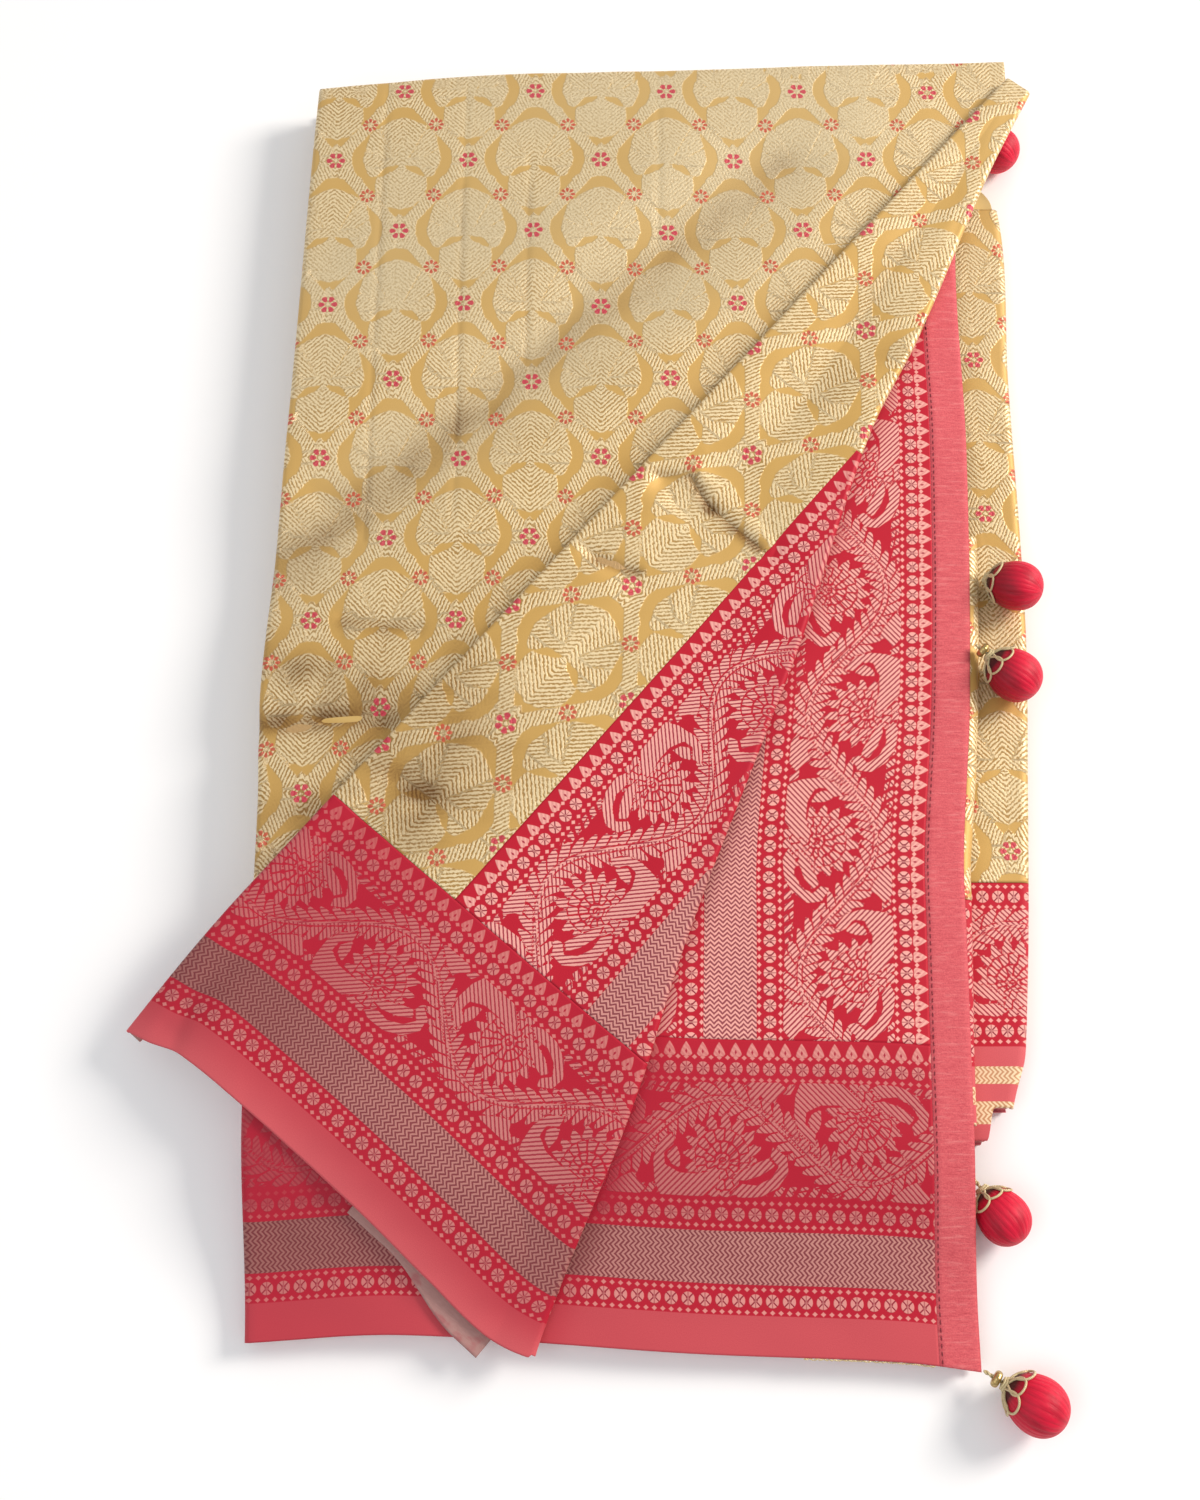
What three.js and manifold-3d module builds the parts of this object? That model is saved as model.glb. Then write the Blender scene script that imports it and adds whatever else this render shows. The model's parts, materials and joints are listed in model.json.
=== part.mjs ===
// A brocade silk saree, folded flat for display. Its pallu is turned over the top as a long flap.
// Millimetres, +Z up, +Y along the folded length, +X towards the edge that carries the tassels.
// The origin lies on the flat underside, under the middle of the folded cloth.

import * as THREE from 'three';
import { mergeVertices } from 'three/addons/utils/BufferGeometryUtils.js';
import Module from 'manifold-3d';

const wasm = await Module();
wasm.setup();

// Driving dimensions of the cloth
const WALL = 1.2;
const SEAM = 0.3;
const COVER_GAP = 0.6;
const LOWER_HEIGHT = 11.5;
const UPPER_HEIGHT = 12.5;
const FRONT_HEIGHT = 9;
const BORDER_SHARE = 0.205;
const HEM_WIDTH = 15.5;
const STRIP_BORDER_Y = -92;
const STRIP_FRONT_Y = -198;
const STRIP_TOP_Y = 236;
const LAYER_OVERLAP = 0.6;
const LAYER_EDGE = 1.1;
const LAYER_SHOULDER = 0.9;

// How far each layer of plies reaches past the outline, from the bottom up
const LOWER_SHIFTS = [
  { left: 4, right: 0, front: 1 }, { left: 1.5, right: -1.5, front: -2 }, { left: 3, right: 0, front: 0 },
];
const UPPER_SHIFTS = [
  { left: 0, right: -1.5, front: -3 }, { left: -1, right: 0, front: 0.5 },
  { left: 0, right: -2, front: -1.5 }, { left: 0, right: 0, front: -0.5 },
];

// Outline of the upper half of the folded cloth
const LEFT_EDGE = [
  { y: -275, x: -145 }, { y: -178, x: -149 }, { y: -60, x: -150 }, { y: -15, x: -152 },
  { y: 60, x: -149 }, { y: 154, x: -146 }, { y: 230, x: -144 }, { y: 296, x: -142 },
];
const RIGHT_EDGE = [
  { y: -285, x: 139 }, { y: -200, x: 139 }, { y: -115, x: 141 }, { y: -82, x: 142 },
  { y: -13, x: 149 }, { y: 102, x: 155 }, { y: 196, x: 156 }, { y: 262, x: 162 }, { y: 312, x: 163 },
];
const FRONT_EDGE = [
  { x: -145, y: -274 }, { x: -86, y: -271 }, { x: 31, y: -278 }, { x: 109, y: -281 }, { x: 142, y: -285 },
];
const BACK_EDGE = [
  { x: -143, y: 296 }, { x: -57, y: 303 }, { x: 41, y: 306 }, { x: 163, y: 312 },
];

// Right edge of the lower half, which lies further out
const STRIP_EDGE = [
  { y: -199, x: 157 }, { y: -173, x: 163 }, { y: -154, x: 165 }, { y: -112, x: 169 }, { y: -56, x: 173 },
  { y: 24, x: 178 }, { y: 143, x: 179 }, { y: 238, x: 180 }, { y: 260, x: 164 }, { y: 312, x: 164 },
];

// Creases of the upright field: a trough from one end to the other
const FIELD_CREASES = [
  { x1: -156, y1: -26, x2: -98, y2: -22, depth: 2.6, reach: 9 },
  { x1: -118, y1: 22, x2: -86, y2: 18, depth: 1.2, reach: 9 },
  { x1: 72, y1: 246, x2: -143, y2: 49, depth: 1.6, reach: 34 },
];
const CORE_EXTRA_REACH = 8;
const CORE_EXTRA_DEPTH = 0.6;

// Where the pallu starts, as a share across, under the flap
const PALLU_LEFT = [
  { length: 0, across: 0.38 }, { length: 0.205, across: 0.38 }, { length: 0.4, across: 0.44 },
  { length: 0.6, across: 0.63 }, { length: 0.75, across: 0.8 }, { length: 0.83, across: 0.9 },
];
const PALLU_TOP = 0.83;

// The flap in its own plan: u across from its left fold, v along that fold up to the tip
const FLAP_CORNER = { x: -198.5, y: -150.5 };
const FLAP_ACROSS = { x: 0.759, y: -0.651 };
const FLAP_ALONG = { x: 0.651, y: 0.759 };
const FLAP_SELVEDGE = [
  { u: 0, v: -4 }, { u: 12, v: -1 }, { u: 26, v: 4 }, { u: 60, v: 6 }, { u: 118, v: 6.5 }, { u: 160, v: 4.5 },
  { u: 188, v: 3.5 }, { u: 206, v: 8 }, { u: 214, v: 14 },
];
const FLAP_BORDER_END = 122;
const FLAP_PALLU_START = 68;
const FLAP_PALLU_END = 386;
const FLAP_TIP = 592;
const FLAP_RIGHT_FOLD = [
  { v: 0, u: 214 }, { v: 50, u: 197 }, { v: 100, u: 180 }, { v: 170, u: 151 }, { v: 260, u: 120 },
  { v: 303, u: 105 }, { v: 350, u: 86 }, { v: 403, u: 66 }, { v: 452, u: 54 }, { v: 543, u: 26 },
  { v: 592, u: 14 },
];
const FLAP_CREASES = [
  { u1: 0, v1: 320, u2: 66, v2: 326, depth: 2.4, reach: 7 },
  { u1: -4, v1: 272, u2: 30, v2: 281, depth: 1.8, reach: 6 },
  { u1: 15, v1: 10, u2: 15, v2: 150, depth: 2.0, reach: 9 },
];
const FLAP_CLEARANCE = 0.95;
const FOLD_RADIUS = 0.8;
const FOLD_UNDER = 5;
const UNDER_ROOM = 0.15;
const FOLD_LIFT = 3.2;
const FOLD_EASE = 45;
const OVERHANG_DROP = 14;
const OVERHANG_REACH = 50;

// The ply that shows its reverse below the flap
const UNDER_PLY = { u1: 118, u2: 192, v1: -5, v2: 30, rise: 2.0, seat: 0.45 };

// The rounded gold folds between the hem and the side strip
const INNER_FOLD = { top: 62, joint: -101, end: -192, wide: 4, wideEnd: 1.4, room: 0.4 };

// Tassels: ball centre, a point on the side of its cord, and how far the cord reaches from the centre
const TASSELS = [
  { x: 183.5, y: 272, z: 10.7, neck: [173, 281, 11.2], radius: 10.6, cord: 25, bead: true },
  { x: 172.5, y: 37.5, z: 25.2, neck: [160.5, 43, 20.1], radius: 10.8, cord: 14.6, bead: false },
  { x: 169, y: -3.5, z: 25.2, neck: [159, 4.5, 26.5], radius: 11, cord: 20.2, bead: true },
  { x: 151.6, y: -226.5, z: 11.3, neck: [143.8, -215, 9], radius: 10.4, cord: 18.5, bead: false },
  { x: 159.5, y: -296, z: 12.1, neck: [144.5, -286.5, 9.8], radius: 11.3, cord: 22.4, bead: true },
];
const BALL_STRETCH = 1.14;
const BALL_TAPER = 0.1;
const CAP_FROM = 0.5;
const CAP_WALL = 0.9;
const CORD_RADIUS = 0.8;
const BEAD = { ring: 2.2, tube: 1.1, half: 1.5, from: 4 };

const FINISHES = {
  gold: { color: 0xd9b15f, roughness: 0.5, metalness: 0.25 },
  red: { color: 0xc8253f, roughness: 0.55, metalness: 0.15 },
  hem: { color: 0xe4646a, roughness: 0.6, metalness: 0.05 },
  reverse: { color: 0xb58078, roughness: 0.7, metalness: 0.05 },
  silk: { color: 0xc8103f, roughness: 0.4, metalness: 0 },
  thread: { color: 0xe8d6a0, roughness: 0.5, metalness: 0.3 },
  bead: { color: 0xc8a85a, roughness: 0.3, metalness: 0.9 },
};

const evenly = (from, to, steps) => Array.from({ length: steps + 1 }, (_, k) => mix(from, to, k / steps));
const clamp = (value, low, high) => Math.min(Math.max(value, low), high);
const mix = (a, b, share) => a + (b - a) * share;

function smooth(from, to, value) {
  const share = clamp((value - from) / (to - from), 0, 1);
  return share * share * (3 - 2 * share);
}

// A value read from a table of rows, along a smooth curve through them
function along(table, key, column, at) {
  const last = table.length - 1;
  const slope = (i) => {
    const low = table[Math.max(i - 1, 0)];
    const high = table[Math.min(i + 1, last)];
    return (high[column] - low[column]) / (high[key] - low[key]);
  };
  const place = clamp(at, table[0][key], table[last][key]);
  let i = 0;
  while (i < last - 1 && place > table[i + 1][key]) i += 1;
  const span = table[i + 1][key] - table[i][key];
  const t = (place - table[i][key]) / span;
  const rise = 2 * t ** 3 - 3 * t ** 2 + 1;
  const start = (t ** 3 - 2 * t ** 2 + t) * span * slope(i);
  const end = (t ** 3 - t ** 2) * span * slope(i + 1);
  return rise * table[i][column] + start + (1 - rise) * table[i + 1][column] + end;
}

const leftX = (y) => along(LEFT_EDGE, 'y', 'x', y);
const rightX = (y) => along(RIGHT_EDGE, 'y', 'x', y);
const frontY = (x) => along(FRONT_EDGE, 'x', 'y', x);
const backY = (x) => along(BACK_EDGE, 'x', 'y', x);
const stripX = (y) => along(STRIP_EDGE, 'y', 'x', y);
const flapRight = (v) => along(FLAP_RIGHT_FOLD, 'v', 'u', v);
const flapFront = (u) => along(FLAP_SELVEDGE, 'u', 'v', u);

// Plan point at a share across and a share along the folded cloth
function plan(across, length) {
  const near = mix(LEFT_EDGE[0].x, RIGHT_EDGE[0].x, across);
  const nearY = mix(frontY(near), backY(near), length);
  const x = mix(leftX(nearY), rightX(nearY), across);
  return { x, y: mix(frontY(x), backY(x), length) };
}

function distanceToLine(px, py, x1, y1, x2, y2) {
  const dx = x2 - x1;
  const dy = y2 - y1;
  const t = clamp(((px - x1) * dx + (py - y1) * dy) / (dx * dx + dy * dy), 0, 1);
  return Math.hypot(px - x1 - t * dx, py - y1 - t * dy);
}

function fieldCreaseDepth(x, y, extraReach, extraDepth) {
  let depth = 0;
  for (const crease of FIELD_CREASES) {
    const away = distanceToLine(x, y, crease.x1, crease.y1, crease.x2, crease.y2);
    depth += (crease.depth + extraDepth) * Math.exp(-((away / (crease.reach + extraReach)) ** 2));
  }
  return depth;
}

// Height of the lower half, which ends short of the front
const lowerHeight = (y) => LOWER_HEIGHT * smooth(-268, -192, y);

// Height of the folded layers without creases
function stackHeight(x, y) {
  const across = clamp((x - leftX(y)) / (rightX(y) - leftX(y)), 0, 1);
  const crown = 1.4 * Math.abs(2 * across - 1) ** 4;
  const upper = mix(FRONT_HEIGHT, UPPER_HEIGHT, smooth(-285, -150, y));
  return lowerHeight(y) + upper - crown - 1.2 * smooth(270, 312, y);
}

const coverTop = (x, y) => stackHeight(x, y) + COVER_GAP + WALL;

// Closed solid between two grids, with rings between their rims
function solidFromGrids(top, bottom, rings = []) {
  const rows = top.length;
  const columns = top[0].length;
  const positions = [];
  const push = (p) => positions.push(p.x, p.y, p.z) / 3 - 1;
  const topIndex = top.map((row) => row.map(push));
  const bottomIndex = bottom.map((row) => row.map(push));
  const faces = [];
  for (let j = 0; j < rows - 1; j += 1) {
    for (let i = 0; i < columns - 1; i += 1) {
      const a = topIndex[j][i];
      const b = topIndex[j][i + 1];
      const c = topIndex[j + 1][i + 1];
      const d = topIndex[j + 1][i];
      faces.push(a, b, c, a, c, d);
      const e = bottomIndex[j][i];
      const f = bottomIndex[j][i + 1];
      const g = bottomIndex[j + 1][i + 1];
      const h = bottomIndex[j + 1][i];
      faces.push(e, g, f, e, h, g);
    }
  }
  const walk = rimWalk(rows, columns);
  const loops = [walk.map(([j, i]) => topIndex[j][i])];
  for (const ring of rings) loops.push(walk.map(([j, i]) => push(ring(j, i))));
  loops.push(walk.map(([j, i]) => bottomIndex[j][i]));
  for (let k = 0; k < loops.length - 1; k += 1) {
    const upper = loops[k];
    const lower = loops[k + 1];
    for (let m = 0; m < walk.length; m += 1) {
      const n = (m + 1) % walk.length;
      faces.push(upper[m], lower[m], lower[n], upper[m], lower[n], upper[n]);
    }
  }
  const geometry = new THREE.BufferGeometry();
  geometry.setAttribute('position', new THREE.Float32BufferAttribute(positions, 3));
  geometry.setIndex(faces);
  return geometry;
}

// Rim of a grid, anticlockwise seen from above
function rimWalk(rows, columns) {
  const walk = [];
  for (let i = 0; i < columns - 1; i += 1) walk.push([0, i]);
  for (let j = 0; j < rows - 1; j += 1) walk.push([j, columns - 1]);
  for (let i = columns - 1; i > 0; i -= 1) walk.push([rows - 1, i]);
  for (let j = rows - 1; j > 0; j -= 1) walk.push([j, 0]);
  return walk;
}

// Wall of cloth: the inner grid moved out along its own normals
function wall(inner) {
  const rows = inner.length;
  const columns = inner[0].length;
  const outer = inner.map((row, j) => row.map((p, i) => {
    const east = inner[j][Math.min(i + 1, columns - 1)];
    const west = inner[j][Math.max(i - 1, 0)];
    const north = inner[Math.min(j + 1, rows - 1)][i];
    const south = inner[Math.max(j - 1, 0)][i];
    const across = new THREE.Vector3().subVectors(east, west);
    const up = new THREE.Vector3().subVectors(north, south);
    return across.cross(up).normalize().multiplyScalar(WALL).add(p);
  }));
  return solidFromGrids(outer, inner);
}

function toManifold(geometry) {
  const bare = geometry.clone();
  bare.deleteAttribute('normal');
  bare.deleteAttribute('uv');
  const merged = mergeVertices(bare, 1e-4);
  return new wasm.Manifold(new wasm.Mesh({
    numProp: 3,
    vertProperties: new Float32Array(merged.attributes.position.array),
    triVerts: new Uint32Array(merged.index.array),
  }));
}

function fromManifold(solid) {
  const mesh = solid.getMesh();
  const geometry = new THREE.BufferGeometry();
  geometry.setAttribute('position', new THREE.BufferAttribute(new Float32Array(mesh.vertProperties), 3));
  geometry.setIndex(new THREE.BufferAttribute(new Uint32Array(mesh.triVerts), 1));
  return geometry;
}

// Rows across the folded cloth, as shares of its length, close together at the creases and at the front
const BORDER_ROWS = evenly(0, BORDER_SHARE, 8);
const FIELD_ROWS = [0.26, 0.32, 0.37, 0.4, 0.415, 0.43, 0.445, 0.46, 0.49, 0.52, 0.58, 0.64, 0.7, 0.76, 0.829,
  0.832, 0.88, 0.93, 0.98];
const STACK_ROWS = [...BORDER_ROWS, ...FIELD_ROWS, 1];
const LOWER_ROWS = [0, 0.1, 0.2, 0.3, 0.4, 0.5, 0.6, 0.7, 0.78, 0.853, 0.904, 1];

const garment = new THREE.Group();

function add(name, geometry, finish) {
  const mesh = new THREE.Mesh(geometry, new THREE.MeshStandardMaterial(FINISHES[finish]));
  mesh.name = name;
  garment.add(mesh);
  return mesh;
}

// One layer of the stack: a slab with rounded edges between two heights.
// Only its rim moves by the shifts, so that all layers share the points inside it.
function layer(place, shift, columns, rows, low, high) {
  const at = (j, i, inset) => {
    const p = place(columns[i], rows[j]);
    if (i === 0) p.x -= shift.left - inset;
    if (i === columns.length - 1) p.x += shift.right - inset;
    if (j === 0) p.y -= shift.front - inset;
    if (j === rows.length - 1) p.y -= inset;
    return p;
  };
  const point = (j, i, inset, height) => {
    const p = at(j, i, inset);
    return new THREE.Vector3(p.x, p.y, height(p.x, p.y));
  };
  const grid = (height) => rows.map((_, j) => columns.map((__, i) => point(j, i, LAYER_EDGE, height)));
  const ring = (height) => (j, i) => point(j, i, 0, height);
  return toManifold(solidFromGrids(grid(high), grid(low), [
    ring((x, y) => high(x, y) - LAYER_SHOULDER),
    ring((x, y) => low(x, y) + LAYER_SHOULDER),
  ]));
}

// The hidden plies of both halves, layered at every edge
function foldedLayers() {
  const bodies = [];
  const lowerPlace = (across, length) => {
    const near = mix(LEFT_EDGE[0].x, STRIP_EDGE[0].x, across);
    const nearY = mix(STRIP_FRONT_Y, backY(near) - 1, length);
    const x = mix(leftX(nearY), stripX(nearY), across);
    return { x, y: mix(STRIP_FRONT_Y, backY(x) - 1, length) };
  };
  LOWER_SHIFTS.forEach((shift, k) => {
    const low = () => Math.max(0, LOWER_HEIGHT * (k / LOWER_SHIFTS.length) - LAYER_OVERLAP);
    const high = () => LOWER_HEIGHT * ((k + 1) / LOWER_SHIFTS.length);
    bodies.push(layer(lowerPlace, shift, evenly(0, 1, 6), LOWER_ROWS, low, high));
  });
  UPPER_SHIFTS.forEach((shift, k) => {
    const level = (share) => (x, y) => {
      const depth = fieldCreaseDepth(x, y, CORE_EXTRA_REACH, CORE_EXTRA_DEPTH) * smooth(0.6, 1, share);
      return mix(lowerHeight(y), stackHeight(x, y), share) - depth;
    };
    const below = level(k / UPPER_SHIFTS.length);
    const low = k === 0 ? () => 0 : (x, y) => below(x, y) - LAYER_OVERLAP;
    bodies.push(layer(plan, shift, evenly(0, 1, 10), STACK_ROWS, low, level((k + 1) / UPPER_SHIFTS.length)));
  });
  return fromManifold(bodies.reduce((whole, body) => whole.add(body)));
}

// Steps over a rolled edge: how far out, and how far below the stack's top, the inner face lies
const ROLL = [
  { out: 0.7, drop: 3.3 }, { out: 0.7, drop: 1.4 }, { out: 0.1, drop: -0.1 }, { out: -1.6, drop: -COVER_GAP },
];

// Sheet that lies on the folded layers, from columns and rows of shares and edge steps
function cover(columns, rows, across = (column) => column.share) {
  return wall(rows.map((row) => columns.map((column) => {
    const p = plan(across(column, row.share), row.share);
    const x = p.x - (column.out ?? 0);
    const y = p.y + (row.out ?? 0);
    const drop = Math.max(column.drop ?? -COVER_GAP, row.drop ?? -COVER_GAP);
    const lies = stackHeight(x, y) - drop - fieldCreaseDepth(x, y, 0, 0);
    return new THREE.Vector3(x, y, lies);
  })));
}

const plain = (shares) => shares.map((share) => ({ share }));
const rolled = (share) => ROLL.map((step) => ({ share, ...step }));
const rolledLeft = (inside) => [...rolled(0), ...plain(inside)];
const rolledBack = (inside) => [...plain(inside), ...rolled(1).reverse()];

const palluLeft = (length) => along(PALLU_LEFT, 'length', 'across', length);
const hemShare = (length) => {
  const span = plan(1, length).x - plan(0, length).x;
  return 1 - HEM_WIDTH / span;
};

function buildCovers() {
  const seamShare = SEAM / 300;
  const fieldRight = (length) => (length < PALLU_TOP ? palluLeft(length) - seamShare : 1);
  const fieldColumns = rolledLeft([0.04, 0.08, 0.13, 0.2, 0.3, 0.42, 0.55, 0.7, 0.85, 1]);
  const fieldAcross = (column, length) => column.share * fieldRight(length);
  const fieldStart = BORDER_SHARE + seamShare / 2;
  add('body_field', cover(fieldColumns, rolledBack([fieldStart, ...FIELD_ROWS]), fieldAcross), 'gold');

  const borderColumns = rolledLeft([0.06, 0.14, 0.24, 0.34, 0.44, 0.54, 0.64, 0.74, 0.84, 0.93, 1]);
  const borderRows = plain([...BORDER_ROWS.slice(0, -1), BORDER_SHARE - seamShare / 2]);
  const hemLeft = (length) => hemShare(length) - seamShare;
  const beforeHem = (column, length) => column.share * hemLeft(length);
  add('lower_border', cover(borderColumns, borderRows, beforeHem), 'red');

  const sideRows = FIELD_ROWS.filter((share) => share < PALLU_TOP);
  const palluAcross = (column, length) => mix(palluLeft(length) + seamShare, hemLeft(length), column.share);
  add('pallu_panel', cover(plain(evenly(0, 1, 6)), plain([fieldStart, ...sideRows]), palluAcross), 'red');

  const overhang = 1 / 300;
  const hemAcross = (column, length) => mix(hemShare(length), 1 + overhang, column.share);
  add('pallu_hem', cover(plain(evenly(0, 1, 2)), plain([...BORDER_ROWS, ...sideRows]), hemAcross), 'hem');
}

// Side strip on the lower half, rolled over its outer edge
function sideStrip(fromY, toY, steps) {
  const seat = LOWER_HEIGHT + COVER_GAP;
  const overEdge = [...ROLL].reverse();
  return wall(evenly(fromY, toY, steps).map((y) => {
    const inside = rightX(y) + 0.9;
    const outside = stripX(y);
    const flat = [0, 0.5].map((share) => new THREE.Vector3(mix(inside, outside - 1.6, share), y, seat));
    const round = overEdge.map((step) => new THREE.Vector3(outside + step.out, y, LOWER_HEIGHT - step.drop));
    return [...flat, ...round];
  }));
}

function buildSideStrips() {
  add('side_strip_body', sideStrip(STRIP_BORDER_Y + SEAM / 2, STRIP_TOP_Y, 16), 'gold');
  add('side_strip_border', sideStrip(STRIP_FRONT_Y + 0.5, STRIP_BORDER_Y - SEAM / 2, 8), 'red');
}

// Rounded fold that stands out from the upper half, above the side strip
function innerFold(fromY, toY, steps) {
  return wall(evenly(fromY, toY, steps).map((y) => {
    const wide = mix(INNER_FOLD.wideEnd, INNER_FOLD.wide, smooth(INNER_FOLD.end, INNER_FOLD.joint + 60, y));
    const floor = LOWER_HEIGHT + COVER_GAP + WALL;
    const roof = stackHeight(rightX(y), y) + COVER_GAP;
    const tall = (roof - floor) / 2 - WALL - INNER_FOLD.room;
    return evenly(90, -90, 6).map((degrees) => {
      const angle = THREE.MathUtils.degToRad(degrees);
      const x = rightX(y) + 0.5 + wide * Math.cos(angle);
      return new THREE.Vector3(x, y, (floor + roof) / 2 + tall * Math.sin(angle));
    });
  }));
}

function buildInnerFolds() {
  add('inner_fold_body', innerFold(INNER_FOLD.joint + SEAM / 2, INNER_FOLD.top, 10), 'gold');
  add('inner_fold_border', innerFold(INNER_FOLD.end, INNER_FOLD.joint - SEAM / 2, 6), 'red');
}

function flapPlan(u, v) {
  return {
    x: FLAP_CORNER.x + u * FLAP_ACROSS.x + v * FLAP_ALONG.x,
    y: FLAP_CORNER.y + u * FLAP_ACROSS.y + v * FLAP_ALONG.y,
  };
}

// Height that the flap rests at: the covers below it, or the drop past the stack's left edge
function flapSeat(x, y) {
  const beyond = clamp(leftX(y) - x, 0, OVERHANG_REACH) / OVERHANG_REACH;
  return coverTop(x, y) + FLAP_CLEARANCE - OVERHANG_DROP * (1 - Math.cos(beyond * Math.PI / 2));
}

// Inner face of the flap's upper ply
function flapHeight(u, v) {
  const p = flapPlan(u, v);
  const away = clamp(Math.min(u, flapRight(v) - u), 0, FOLD_EASE);
  const lift = FOLD_LIFT * (1 - smooth(0, FOLD_EASE, away));
  const beside = smooth(UNDER_PLY.u1 - 28, UNDER_PLY.u1 - 4, u);
  const under = UNDER_PLY.rise * beside * (1 - smooth(UNDER_PLY.v2 + 4, UNDER_PLY.v2 + 30, v));
  let crease = 0;
  for (const line of FLAP_CREASES) {
    const distance = distanceToLine(u, v, line.u1, line.v1, line.u2, line.v2);
    crease += line.depth * Math.exp(-((distance / line.reach) ** 2)) * smooth(3, 13, away);
  }
  const high = Math.max(lift, under);
  return flapSeat(p.x, p.y) + Math.max(high - crease, 0);
}

function flapPoint(u, v, z) {
  const p = flapPlan(u, v);
  return new THREE.Vector3(p.x, p.y, z);
}

// Folded edge: under, round the fold and up on top; side is 1 at the left fold and -1 at the right
function foldedEdge(foldU, v, side) {
  const centre = foldU + side * (WALL + FOLD_RADIUS);
  const top = flapHeight(centre, v);
  const p = flapPlan(centre, v);
  const bottom = Math.min(top - 2 * FOLD_RADIUS, flapSeat(p.x, p.y) + WALL + UNDER_ROOM);
  const radius = (top - bottom) / 2;
  const points = [flapPoint(centre + side * FOLD_UNDER, v, bottom)];
  for (const degrees of [-90, -45, 0, 45, 90]) {
    const angle = THREE.MathUtils.degToRad(degrees);
    const out = FOLD_RADIUS * Math.cos(angle);
    points.push(flapPoint(centre - side * out, v, (top + bottom) / 2 + radius * Math.sin(angle)));
  }
  return points;
}

function flapRows(from, to, steps, creases = []) {
  const middle = (line) => (line.v1 + line.v2) / 2;
  const extra = creases.flatMap((line) => [-1, 0, 1].map((side) => middle(line) + side * line.reach));
  const all = [...evenly(from, to, steps), ...extra.filter((v) => v > from + 4 && v < to - 4)];
  return all.sort((a, b) => a - b).filter((v, k, list) => k === 0 || v - list[k - 1] > 2);
}

function buildFlap() {
  const foldInset = WALL + FOLD_RADIUS;
  const inner = (from, to, shares, v) => shares.map((share) => {
    const u = mix(from, to, share);
    return flapPoint(u, v, flapHeight(u, v));
  });
  const bodyShares = [0.08, 0.17, 0.25, 0.36, 0.5, 0.65, 0.82, 1];
  const bodyRows = flapRows(FLAP_BORDER_END + SEAM / 2, FLAP_TIP, 17, FLAP_CREASES.slice(0, 2));
  add('flap_body', wall(bodyRows.map((v) => {
    const rightEnd = Math.min(FLAP_PALLU_START - SEAM / 2, flapRight(v) - 0.5);
    return [...foldedEdge(0, v, 1), ...inner(foldInset, rightEnd, bodyShares, v)];
  })), 'gold');

  const palluShares = [0, 0.2, 0.4, 0.6, 0.8];
  const palluRows = bodyRows.filter((v) => v <= FLAP_PALLU_END);
  add('flap_pallu', wall(palluRows.map((v) => {
    const start = FLAP_PALLU_START + SEAM / 2;
    const end = flapRight(v) - foldInset;
    return [...inner(start, end, palluShares, v), ...foldedEdge(flapRight(v), v, -1).reverse()];
  })), 'red');

  const borderShares = [0.03, 0.065, 0.1, 0.16, 0.25, 0.35, 0.46, 0.56, 0.66, 0.76, 0.86, 0.94];
  add('flap_border', wall(evenly(0, 1, 10).map((share) => {
    const rowEnd = FLAP_BORDER_END - SEAM / 2;
    const rowAt = (u) => mix(flapFront(u), rowEnd, share);
    const fold = flapRight(rowAt(flapRight(0)));
    const top = borderShares.map((column) => {
      const u = mix(foldInset, fold - foldInset, column);
      return flapPoint(u, rowAt(u), flapHeight(u, rowAt(u)));
    });
    return [...foldedEdge(0, rowAt(0), 1), ...top, ...foldedEdge(fold, rowAt(fold), -1).reverse()];
  })), 'red');

  const underRows = evenly(0, 1, 4);
  const underColumns = evenly(UNDER_PLY.u1, UNDER_PLY.u2, 8);
  add('flap_turn_under', wall(underRows.map((share) => underColumns.map((u) => {
    const front = mix(UNDER_PLY.v1 + 8, UNDER_PLY.v1, smooth(UNDER_PLY.u1 + 20, UNDER_PLY.u2 - 12, u));
    const v = mix(front, UNDER_PLY.v2, share);
    const p = flapPlan(u, v);
    return flapPoint(u, v, coverTop(p.x, p.y) + UNDER_PLY.seat);
  }))), 'reverse');
}

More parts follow.
